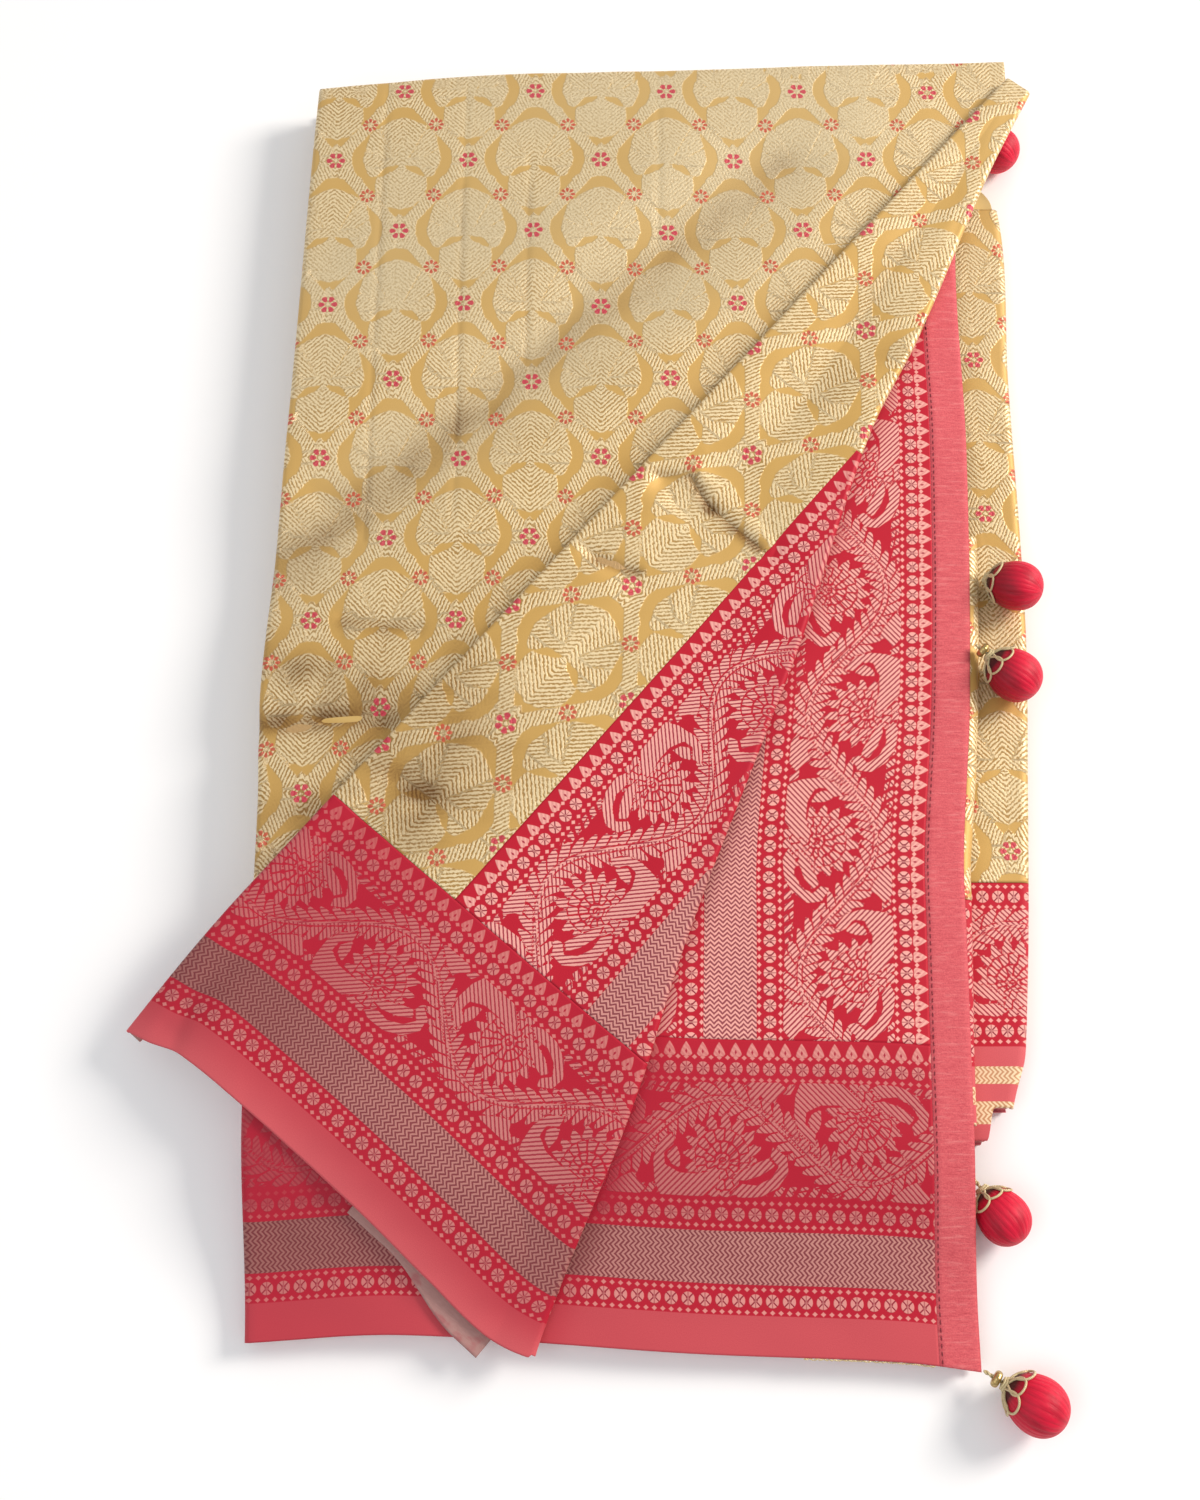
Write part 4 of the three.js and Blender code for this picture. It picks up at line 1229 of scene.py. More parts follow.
@dataclass
class CoverCloth:
    """The cloth that lies on the folded layers: field, lower border, pallu and hem."""

    stack: Fold
    flap: FlapFold
    dresser: Dresser
    corner_reach: float = 25.0
    rolled_start: float = 0.0105
    lattice: tuple[float, float] = (-133.2, 254.8)
    field_blocks: tuple[int, int] = (50, 33)
    border_blocks: tuple[int, int] = (17, 35)
    pallu_blocks: tuple[int, int] = (44, 19)
    turned_corner: tuple[float, float, float, float] = (-145.5, 297, -147, 284)
    # Bands of painted silvery sheen: x1, y1, x2, y2, strength and half width.
    painted_sheen_bands: Rows = (
        (90, 262, -150, 44, 0.9, 26), (-120, 200, -40, 230, 0.7, 34), (20, 250, 110, 290, 0.8, 30),
        (-150, 150, -60, 210, 0.35, 22), (-60, 290, 60, 296, 0.6, 22), (-128, 96, -100, 112, 0.5, 14))
    # Lines of painted shade along the creases, ironed folds and the long valley: x1, y1, x2, y2, strength and half
    # width.
    painted_shade_lines: Rows = (
        (-153, -24, -102, -22, 0.8, 6), (-150, -66, -120, -60, 0.25, 10), (-118, 20, -88, 18, 0.55, 4),
        (78, 252, -148, 45, 0.4, 10), (-60, 118, -148, 52, 0.16, 14), (-150, 2, -100, -8, 0.3, 8),
        (-144, 4, -84, -44, 0.24, 30), (-60, 40, -110, -20, 0.14, 20),
        (-72, 240, -72, 110, 0.22, 1.6), (-110, 270, -111, 60, 0.18, 1.2), (-41, 240, -42, 150, 0.2, 1.6))

    def shell(self, columns: Grid, rows: Grid, limits: Callable[[Grid, Grid], Grid], left_roll: bool = False,
              back_roll: bool = False) -> tuple[Grid, Grid, Grid, Grid]:
        """Lays a sheet on the folded layers.

        Args:
            columns: the columns' shares of the cloth.
            rows: the rows' shares of the cloth.
            limits: turns a column's share and a row's share to a share across the stack.
            left_roll: whether it rolls over the left edge.
            back_roll: whether it rolls over the back edge, with its corner drawn out.

        Returns:
            Its outer and inner grids, and their plan coordinates.
        """
        roll, level = self.stack.roll_points()[:8], np.array([[0.0, -self.stack.gap]])
        col_roll, row_roll = np.repeat(level, len(columns), 0), np.repeat(level, len(rows), 0)
        if left_roll:
            col_roll, columns = np.concatenate([roll, col_roll]), np.concatenate([np.zeros(8), columns])
        if back_roll:
            row_roll, rows = np.concatenate([row_roll, roll[::-1]]), np.concatenate([rows, np.ones(8)])
        share, length = np.meshgrid(columns, rows)
        x, y = self.stack.plan(limits(share, length), length)
        x = x - col_roll[None, :, 0]
        if back_roll:
            x = x + self.corner_reach * smooth(256, 300, y) * smooth(0.72, 1.0, share)
        y = y + row_roll[:, None, 0]
        drop = np.maximum(col_roll[None, :, 1], row_roll[:, None, 1])
        height = self.stack.stack_height(x, y) - drop - self.stack.crease(x, y) - self.stack.fine_crease(x, y)
        inner = np.stack([x, y, height], 2)
        return inner + facing(inner) * self.stack.wall, inner, x, y

    def painted_silver_sheen(self, x: Grid, y: Grid) -> Grid:
        """Gives how much painted sheen turns the metal thread silvery grey at each place, as soft light would."""
        cool = 0.42 * smooth(70, 220, y) + 0.22 * ripple(x, y, 46, 5) * smooth(40, 140, y)
        return np.clip(cool + 0.6 * troughs(x, y, self.painted_sheen_bands), 0, 1)

    def field_limits(self, share: Grid, length: Grid) -> Grid:
        """Keeps the gold field's columns even, and squeezes those next to the pallu.

        Args:
            share: the columns' shares.
            length: the rows' shares.

        Returns:
            Shares across the stack.
        """
        edge = np.where(length < self.stack.pallu_top, along(self.stack.pallu, length) - 0.001, 1.0)
        knee = 0.85 * edge
        return np.where(share < knee, share, knee + (share - knee) / (1 - knee) * (edge - knee))

    def field(self) -> None:
        """Makes the gold field over the stack."""
        columns = steps(self.rolled_start, 1.0, self.field_blocks[1])
        rows = steps(self.stack.border_share + 0.0003, 0.9895, self.field_blocks[0])
        outer, inner, x, y = self.shell(columns, rows, self.field_limits, True, True)
        u, v = x - self.lattice[0], y - self.lattice[1]
        beside = self.flap.local(x, y)[0]
        # Painted shade along the creases and beside the flap's left fold, and darker towards the lower left.
        brown = troughs(x, y, self.painted_shade_lines)
        brown = brown + 0.34 * hump(beside + 3, 7.0) * smooth(330, 60, y) * smooth(0, 6, -beside)
        brown = brown * (0.8 + 0.3 * ripple(x, y, 17, 8)) + 0.12 * smooth(0, -90, y) * smooth(-100, -150, x)
        marks = GoldMotif().marks(u, v)
        marks["cool"], marks["brown"] = self.painted_silver_sheen(x, y), np.clip(brown, 0, 1)
        marks["turn"] = smooth(3.2, 1.6, line_distance(x, y, self.turned_corner))
        cloth = Cloth(outer, inner, (u, v), marks, self.flap.covers(x, y))
        self.dresser.sheet("gold_field", cloth, "gold", "body_field", (0.31, 0.46), area=0.105)

    def border(self) -> None:
        """Makes the lower border over the stack's front."""
        rows = steps(0.0, self.stack.border_share, self.border_blocks[0])
        outer, inner, x, y = self.shell(steps(self.rolled_start, 1.0, self.border_blocks[1]), rows,
                                        lambda share, length: share * self.stack.hem_share(length), True)
        w = np.broadcast_to((rows / self.stack.border_share * BORDER_WIDTH)[:, None], x.shape)
        marks = BrocadeRows(BORDER_ROWS, shift=40.2, flip=-1.0).marks(x, w)
        marks["shade"] = 0.3 * smooth(120, 100, w) + 0.1 * smooth(20, 30, w) + 0.2 * smooth(44, 56, w)
        marks["shade"] += 0.24 * smooth(-20, -140, x) + 0.1 * smooth(60, -20, x)
        marks["shade"] += 0.3 * hump(self.flap.past_fold(x, y), 7.0) * smooth(-60, 0, x)
        cloth = Cloth(outer, inner, (x, w), marks, self.flap.covers(x, y))
        self.dresser.sheet("lower_border_cloth", cloth, "crimson", "lower_border", (0.12, 0.285))

    def pallu(self) -> None:
        """Makes the pallu's panel, from the gold field to the hem."""
        rows = steps(self.stack.border_share, HEM_END, self.pallu_blocks[0])
        outer, inner, x, y = self.shell(
            steps(0.0, 1.0, self.pallu_blocks[1]), rows,
            lambda share, length: mix(along(self.stack.pallu, length) + 0.001, self.stack.hem_share(length), share))
        h = self.stack.plan(self.stack.hem_share(rows), rows)[0][:, None] - x
        marks = BrocadeRows(PALLU_COLUMNS, shift=21.2).marks(y, h)
        marks["shade"] = 0.35 * hump(self.flap.past_fold(x, y), 6.0)
        cloth = Cloth(outer, inner, (y, h), marks, self.flap.covers(x, y))
        self.dresser.sheet("pallu_cloth", cloth, "crimson", "pallu_panel", (0.18, 0.36), area=0.039)

    def hem(self) -> None:
        """Makes the plain hem along the pallu's end."""
        columns = steps(0.0, 1.0, 2)
        outer, inner, x, y = self.shell(columns, steps(0.0, HEM_END, 60), lambda share, length: mix(
            self.stack.hem_share(length), PAST_EDGE, share))
        share = np.broadcast_to(columns[None, :], x.shape)
        seam = 0.35 * hump(share - 0.07, 0.03)
        outer[:, :, 2] -= 0.55 * smooth(0.9, 1.0, share) + seam
        for at in (168, 77, 48, -60, -150):
            outer[:, :, 2] -= 0.3 * hump(y - at - 0.3 * x + 45, 1.3)
        marks = {"shade": seam + 0.2 * smooth(0.94, 1.0, share)}
        cloth = Cloth(outer, inner, (x, y), marks, self.flap.covers(x, y))
        self.dresser.sheet("hem_cloth", cloth, "coral", "pallu_hem", (0.0165, 0.49))


@dataclass
class SideCloth:
    """The cloth at the stack's right: the strip on the lower half, and the rounded folds above it."""

    stack: Fold
    dresser: Dresser
    lattice: tuple[float, float] = (165.0, 155.0)
    border_y: float = -92.0
    back_y: float = 236.0
    fold_top: float = 62.0
    fold_joint: float = -101.0
    fold_end: float = -192.0

    def stepped(self, x: Grid, y: Grid) -> Grid:
        """Moves the strip's front back where its outer plies end earlier."""
        return y + self.stack.step_back(x) * smooth(-150, -197, y)

    def strip(self, low: float, high: float, blocks: int) -> tuple[Grid, Grid]:
        """Lays a stretch of the strip and rolls it over its outer edge.

        Args:
            low: the y that it starts at.
            high: the y that it ends at.
            blocks: rows, in blocks of eight.

        Returns:
            Its outer and inner grids.
        """
        y = steps(low, high, blocks)[:, None]
        inside, outside = along(self.stack.right, y) + 0.9, along(self.stack.strip, y)
        share = np.linspace(0, 1, 25)[None, :]
        x = mix(inside, outside - 1.6, share)
        y = self.stepped(x, y + 0 * x)
        swell = 0.3 * ripple(x, y, 30, 31) * np.sin(math.pi * share)
        flat = np.stack([x, y, self.stack.lower + self.stack.gap + swell], 2)
        roll = [np.stack([outside + out, y[:, -1:], 0 * outside + self.stack.lower - drop], 2)
                for out, drop in self.stack.roll_points()[-2::-1]]
        inner = np.concatenate([flat, *roll], 1)
        return inner + facing(inner) * self.stack.wall, inner

    def build(self) -> None:
        """Makes the strip's gold and border stretches and the two rounded folds."""
        outer, inner = self.strip(self.border_y + 0.1, self.back_y, 40)
        x, y = inner[:, :, 0], inner[:, :, 1]
        u, v = x - self.lattice[0], y - self.lattice[1]
        marks = GoldMotif().marks(u, v)
        # Painted sheen, stronger towards the back of the strip.
        marks["cool"] = 0.3 * smooth(60, 200, y)
        # Painted shade over the whole strip, deeper beside the stack.
        marks["brown"] = 0.1 + 0.25 * smooth(8, 0, x - along(self.stack.right, y))
        cloth = Cloth(outer, inner, (u, v), marks)
        self.dresser.sheet("side_strip_gold", cloth, "gold", "side_strip_body", (0.034, 0.33))
        outer, inner = self.strip(self.stack.strip_front + 0.5, self.border_y - 0.1, 13)
        x, w = inner[:, :, 0], self.border_y - inner[:, :, 1]
        marks = BrocadeRows(STRIP_ROWS, shift=6.0).marks(x, w)
        marks["shade"] = 0 * x
        cloth = Cloth(outer, inner, (x, w), marks)
        self.dresser.sheet("side_strip_border_cloth", cloth, "crimson", "side_strip_border", (0.028, 0.106))
        self.fold("inner_fold_gold", self.fold_joint + 0.1, self.fold_top, 20, "inner_fold_body")
        self.fold("inner_fold_crimson", self.fold_end, self.fold_joint - 0.1, 11, "inner_fold_border")

    def fold(self, name: str, low: float, high: float, blocks: int, node: str) -> None:
        """Makes one stretch of the rounded fold between the strip and the hem.

        Args:
            name: the piece's name.
            low: the y that it starts at.
            high: the y that it ends at.
            blocks: rows, in blocks of eight.
            node: the solid that it stands for.
        """
        stack = self.stack
        y = steps(low, high, blocks)[:, None]
        wide = mix(1.4, 4.0, smooth(self.fold_end, self.fold_joint + 60, y))
        floor = stack.lower + stack.gap + stack.wall
        roof = stack.stack_height(along(stack.right, y), y) + stack.gap
        tall = (roof - floor) / 2 - stack.wall - 0.4
        angle = np.radians(np.linspace(90, -90, 17))[None, :]
        puff = 1 + 0.06 * ripple(y, 0 * y, 34, 41)
        x = along(stack.right, y) + 0.5 + wide * puff * np.cos(angle)
        inner = np.stack([x, y + 0 * x, (floor + roof) / 2 + tall * np.sin(angle)], 2)
        outer = inner + facing(inner) * stack.wall
        run = np.cumsum(np.hypot(np.gradient(x, axis=1), np.gradient(inner[:, :, 2], axis=1)), axis=1)
        look = "gold" if node.endswith("body") else "crimson"
        if look == "gold":
            a, b = 150.0 + run - self.lattice[0], inner[:, :, 1] - self.lattice[1]
            marks = GoldMotif().marks(a, b) | {"cool": 0 * a, "brown": 0 * a}
        else:
            a, b = run, self.fold_joint - inner[:, :, 1]
            marks = BrocadeRows(STRIP_ROWS).marks(a, b) | {"shade": 0.15 + 0 * b}
        cloth, flat = Cloth(outer, inner, (a, b), marks), (0.012, (high - low) * MM)
        self.dresser.sheet(name, cloth, look, node, flat, ["side_strip_gold"])


class Span(NamedTuple):
    """A stretch across the flap: its coordinates, heights and run of cloth, one column for each place across."""

    u: Grid
    v: Grid
    z: Grid
    run: Grid

    def turned(self) -> "Span":
        """Gives the same stretch from its other side."""
        return Span(*(grid[:, ::-1] for grid in self))

    def beside(self, *others: "Span") -> "Span":
        """Joins stretches to this one's right."""
        return Span(*(np.concatenate(grids, 1) for grids in zip(self, *others)))


@dataclass
class FlapCloth:
    """The turned flap: gold, pallu and border, with a rounded fold along both long sides."""

    stack: Fold
    flap: FlapFold
    dresser: Dresser
    stretch: float = 0.932
    stretch_along: float = 0.944
    turn_radius: float = 0.8
    under: float = 5.0
    seam: float = 1.1
    lattice_v: float = 68.5
    # Lines of painted shade along the flap's wrinkles and hollows: u1, v1, u2, v2, strength and half width.
    painted_shade_lines: Rows = (
        (20, 331, 36, 325, 1.0, 2.9), (36, 325, 64, 324, 1.0, 2.8), (15, 274, 31, 281, 1.0, 2.8),
        (6, 322, 20, 331, 0.5, 2.0), (14, 144, 30, 143, 0.5, 9), (24, 150, 20, 182, 0.4, 9),
        (34, 132, 50, 180, 0.22, 14), (4, 200, 4, 130, 0.3, 6), (10, 300, 8, 200, 0.12, 10),
        (50, 440, 40, 400, 0.2, 7), (20, 480, 28, 440, 0.2, 6), (34, 122, 22, 190, 0.26, 22))

    @property
    def inset(self) -> float:
        """Gives how far in from a fold's outside the upper ply starts."""
        return self.stack.wall + self.turn_radius

    def folded(self, fold_u: Grid, v: Grid, side: int) -> Span:
        """Gives the inner face of a folded edge: under, round the fold and up on top.

        Args:
            fold_u: where the fold lies across, one for each row.
            v: the rows' coordinates along.
            side: 1 at the left fold and -1 at the right one.

        Returns:
            The stretch, from its end under the flap to the top of the fold.
        """
        centre = (fold_u + side * self.inset)[:, None]
        v = v[:, None]
        top = self.flap.height(self.stack, centre, v)
        seat = self.flap.seat(self.stack, *self.flap.plan(centre, v))
        bottom = np.minimum(top - 2 * self.turn_radius, seat + self.stack.wall + 0.15)
        half = (top - bottom) / 2
        under = self.under * np.linspace(1, 0.25, 4)[None, :]
        angle = np.radians(np.linspace(-90, 90, 13))[None, :-1]
        u = centre + side * np.concatenate([under + 0 * v, -self.turn_radius * np.cos(angle) + 0 * v], 1)
        z = np.concatenate([bottom + 0 * under, (top + bottom) / 2 + half * np.sin(angle)], 1)
        run = centre - side * np.concatenate([math.pi * half + under, half * (math.pi / 2 - angle)], 1)
        return Span(u, v + 0 * u, z, run)

    def laid(self, u: Grid, v: Grid) -> Span:
        """Gives the upper ply at those coordinates."""
        return Span(u, v, self.flap.height(self.stack, u, v) - self.flap.fine_crease(u, v), u)

    def top(self, start: Grid, end: Grid, v: Grid, blocks: int) -> Span:
        """Gives the upper ply between two edges.

        Args:
            start: where it starts across, one for each row.
            end: where it ends across.
            v: the rows' coordinates along.
            blocks: columns, in blocks of eight.

        Returns:
            The stretch.
        """
        u = mix(start[:, None], end[:, None], steps(0, 1, blocks)[None, :])
        return self.laid(u, v[:, None] + 0 * u)

    def place(self, span: Span) -> tuple[Grid, Grid]:
        """Gives the outer and inner grids of a stretch."""
        inner = np.stack([*self.flap.plan(span.u, span.v), span.z], 2)
        return inner + facing(inner) * self.stack.wall, inner

    def gold(self) -> None:
        """Makes the flap's gold stretch, up to its tip."""
        v = steps(self.flap.border_end + 0.1, self.flap.tip, 53)
        fold, start = along(self.flap.fold, v), self.flap.pallu_start - self.seam
        past = (v > self.flap.pallu_end).astype(float)
        right = self.folded(fold, v, -1).turned()
        flat_u = start + np.linspace(1 / 16, 1, 16)[None, :] * self.seam + 0 * right.u
        right = Span(*(mix(a, b, past[:, None]) for a, b in zip(self.laid(flat_u, right.v), right)))
        span = self.folded(0 * v, v, 1).beside(
            self.top(0 * v + self.inset, mix(0 * v + start, fold - self.inset, past), v, 8), right)
        outer, inner = self.place(span)
        u, v = span.run * self.stretch, (span.v - self.lattice_v) * self.stretch_along
        marks = GoldMotif().marks(u, v)
        x, y = inner[:, :, 0], inner[:, :, 1]
        # Painted sheen, stronger towards the back and uneven.
        marks["cool"] = np.clip(0.3 * smooth(150, 290, y) + 0.12 * ripple(x, y, 40, 6), 0, 1)
        # Painted shade along the flap's wrinkles and hollows.
        marks["brown"] = np.clip(troughs(span.u, span.v, self.painted_shade_lines)
                                 * (0.85 + 0.3 * ripple(span.u, span.v, 15, 9)), 0, 1)
        cloth = Cloth(outer, inner, (u, v), marks)
        self.dresser.sheet("flap_gold", cloth, "gold", "flap_body", (0.085, 0.48), ["gold_field", "pallu_cloth"])

    def pallu(self) -> None:
        """Makes the flap's stretch of pallu, beside the gold."""
        v = steps(self.flap.border_end + 0.1, self.flap.pallu_end, 33)
        fold = along(self.flap.fold, v)
        span = self.top(0 * v + self.flap.pallu_start + 0.05, fold - self.inset, v, 12).beside(
            self.folded(fold, v, -1).turned())
        outer, inner = self.place(span)
        run = span.run - self.flap.pallu_start
        marks = BrocadeRows(FLAP_COLUMNS, shift=12.0).marks(span.v, run)
        inward = np.clip(fold[:, None] - span.u, 0, 99)
        marks["shade"] = 0.28 * smooth(240, 122, span.v) * smooth(40, 80, run)
        marks["shade"] += 0.4 * hump(inward, 8.0) * smooth(150, 220, span.v)
        self.dresser.sheet("flap_pallu_cloth", Cloth(outer, inner, (span.v, run), marks), "crimson",
                           "flap_pallu", (0.115, 0.27), ["gold_field", "pallu_cloth"], 0.0165)

    def border(self) -> None:
        """Makes the flap's border, whose left corner hangs past the stack."""
        share = steps(0, 1, 16)[:, None]

        def row_at(u: Grid) -> Grid:
            """Gives each row's coordinate along, at that place across."""
            return mix(along(self.flap.selvedge, u), self.flap.border_end, share)

        fold = along(self.flap.fold, row_at(float(self.flap.fold[0][1])))
        u = mix(self.inset, fold - self.inset, steps(0, 1, 26)[None, :])
        left = self.folded(0 * share[:, 0], row_at(0.0)[:, 0], 1)
        right = self.folded(fold[:, 0], row_at(fold)[:, 0], -1).turned()
        span = left.beside(self.laid(u, row_at(u)), right)
        outer, inner = self.place(span)
        w = share * BORDER_WIDTH + 0 * span.run
        marks = BrocadeRows(BORDER_ROWS, shift=67.3, flip=-1.0).marks(span.run, w)
        dark = 0.54 + 0.2 * smooth(100, 30, span.u) * smooth(15, 30, w) + 0.1 * smooth(150, 200, span.u)
        marks["shade"] = dark * smooth(-4, 18, w)
        cloth = Cloth(outer, inner, (span.run, w), marks)
        self.dresser.sheet("flap_border_cloth", cloth, "crimson", "flap_border", (0.125, 0.215),
                           ["lower_border_cloth", "gold_field"])

    def turn_under(self) -> None:
        """Makes the ply that shows its reverse below the flap."""
        u1, u2, v1, v2 = self.flap.under
        u = steps(u1, u2, 8)[None, :]
        v = mix(mix(v1 + 8, v1, smooth(u1 + 20, u2 - 12, u)), v2, steps(0, 1, 4)[:, None])
        u = u + 0 * v
        seat = self.stack.cover_top(*self.flap.plan(u, v)) + self.flap.under_seat
        outer, inner = self.place(Span(u, v, seat, u))
        cloth = Cloth(outer, inner, (u, v), {"shade": 0 * v})
        self.dresser.sheet("flap_reverse_ply", cloth, "reverse", "flap_turn_under", (0.036, 0.074),
                           ["lower_border_cloth"])


@dataclass
class PlyStack:
    """The hidden plies of both halves as one rounded solid, with every ply's edge shown round its sides."""

    stack: Fold
    dresser: Dresser
    inset: float = 1.1
    lower_shifts: Sequence[tuple[float, float, float]] = ((4, 0, 1), (1.5, -1.5, -2), (3, 0, 0))
    upper_shifts: Sequence[tuple[float, float, float]] = ((0, -1.5, -3), (-1, 0, 0.5), (0, -2, -1.5), (0, 0, -0.5))
    plies: int = 4

    def half(self, x: Grid, y: Grid, low: Callable[[Grid, Grid], Grid], high: Callable[[Grid, Grid], Grid],
             shifts: Sequence[tuple[float, float, float]], seed: int) -> "LayeredCloth":
        """Builds one half of the stack.

        Args:
            x: the grid's first coordinates.
            y: the grid's second coordinates.
            low: gives the half's underside.
            high: gives its top.
            shifts: how far each layer lies out at the left, right and front.
            seed: which uneven edges.

        Returns:
            The half, ready to mesh.
        """
        walk = rim(np.arange(x.size).reshape(x.shape))
        wx, wy = x.ravel()[walk], y.ravel()[walk]
        (row, column), (last_row, last_column) = np.divmod(walk, x.shape[1]), np.array(x.shape) - 1
        nx = (column == last_column).astype(float) - (column == 0)
        ny = (row == last_row).astype(float) - (row == 0)
        run = np.cumsum(np.hypot(np.diff(wx, prepend=wx[0]), np.diff(wy, prepend=wy[0])))
        rings, groove_shades = [], []
        count = self.plies * len(shifts)
        for ply in range(count - 1, -1, -1):
            left, right, front = shifts[ply // self.plies]
            uneven = 0.5 * ripple(run, 0 * run, 90, seed + ply) + 0.15 * ripple(run, 0 * run, 17, seed + 40 + ply)
            out = np.where(nx < 0, left, 0) + np.where(nx > 0, right, 0) + np.where(ny < 0, front, 0)
            out = out - 0.35 - 0.45 * np.abs(uneven)
            for part, bulge in ((0.96, -0.42), (0.72, -0.05), (0.5, 0.0), (0.28, -0.05)):
                share = (ply + part) / count
                edge = smooth(0.0, 0.1, share) * smooth(1.0, 0.93, share) if ply in (0, count - 1) else 1.0
                reach = out + bulge - self.inset * (1 - edge) * 0.6
                z = mix(low(wx, wy), high(wx, wy), share)
                rings.append(np.stack([wx + nx * reach, wy + ny * reach, z], 1))
                # The indented ring between plies is marked for painted shade.
                groove_shades.append(np.full(len(z), float(bulge < -0.3)))
        top = np.stack([x, y, high(x, y)], 2)
        bottom = np.stack([x, y, low(x, y)], 2)
        for grid in (top, bottom):
            grid[0, :, 1] += self.inset
            grid[-1, :, 1] -= self.inset
            grid[:, 0, 0] += self.inset
            grid[:, -1, 0] -= self.inset
        return LayeredCloth(top, bottom, rings, groove_shades, run)

    def build(self) -> None:
        """Makes both halves as one piece."""
        stack = self.stack
        share, length = np.meshgrid(steps(0, 1, 18), steps(0, 1, 28))
        near = mix(stack.left[0][1], stack.strip[0][1], share)
        near_y = mix(stack.strip_front, along(stack.far, near) - 1, length)
        x = mix(along(stack.left, near_y), along(stack.strip, near_y), share)
        y = mix(stack.strip_front + stack.step_back(x), along(stack.far, x) - 1, length)
        pressed = [(*row[:4], row[4] + 0.6, row[5] + 8) for row in stack.creases]
        lower = self.half(x, y, lambda x, y: 0 * x, lambda x, y: 0 * x + stack.lower, self.lower_shifts, 60)
        upper = self.half(*stack.plan(share, length), lambda x, y: stack.lower_height(y) * smooth(-300, -190, y),
                          lambda x, y: stack.stack_height(x, y) - troughs(x, y, pressed) - 0.2,
                          self.upper_shifts, 160)
        self.dresser.finish(layered_object("folded_plies", [lower, upper]), "plies", "folded_layers")


@dataclass
class LayeredCloth:
    """Two grids and the rings of ply edges between their rims, from the top one down."""

    top: Grid
    bottom: Grid
    rings: list[Grid]
    groove_shades: list[Grid]
    run: Grid


def layered_object(name: str, halves: Sequence[LayeredCloth]) -> Piece:
    """Makes one mesh object from layered halves.

    Args:
        name: the piece's name.
        halves: the halves, in millimetres.

    Returns:
        The object.
    """
    points, faces, uvs, groove_shades = [], [], [], []
    start = 0
    for half in halves:
        shape = half.top.shape[:2]
        size, count, layers = shape[0] * shape[1], len(half.run), len(half.rings)
        shell = Cloth(half.top, half.bottom, (half.top[:, :, 0], half.top[:, :, 1]), {}, np.ones(shape, bool))
        walk = rim(np.arange(size).reshape(shape))[None, :]
        rings = 2 * size + np.arange(layers * count).reshape(layers, count)
        loops = np.concatenate([walk, rings, walk + size])
        after = np.roll(loops, -1, 1)
        sides = np.stack([loops[:-1], loops[1:], after[1:], after[:-1]], 2).reshape(-1, 4).tolist()
        faces += [[corner + start for corner in face] for face in shell.faces()[:-count] + sides]
        place = np.concatenate([half.top.reshape(-1, 3), half.bottom.reshape(-1, 3), *half.rings])
        points.append(place)
        run = np.concatenate([np.zeros(2 * size), np.tile(half.run, layers)])
        uvs.append(np.stack([run, place[:, 2]], 1))
        groove_shades += [np.zeros(2 * size), *half.groove_shades]
        start += len(place)
    place = np.concatenate(points)
    marks = {"red": smooth(-148, -156, place[:, 1]), "groove_shade": np.concatenate(groove_shades)}
    return mesh_object(name, place, faces, np.concatenate(uvs), marks)


# Repeated threads, made by Geometry Nodes


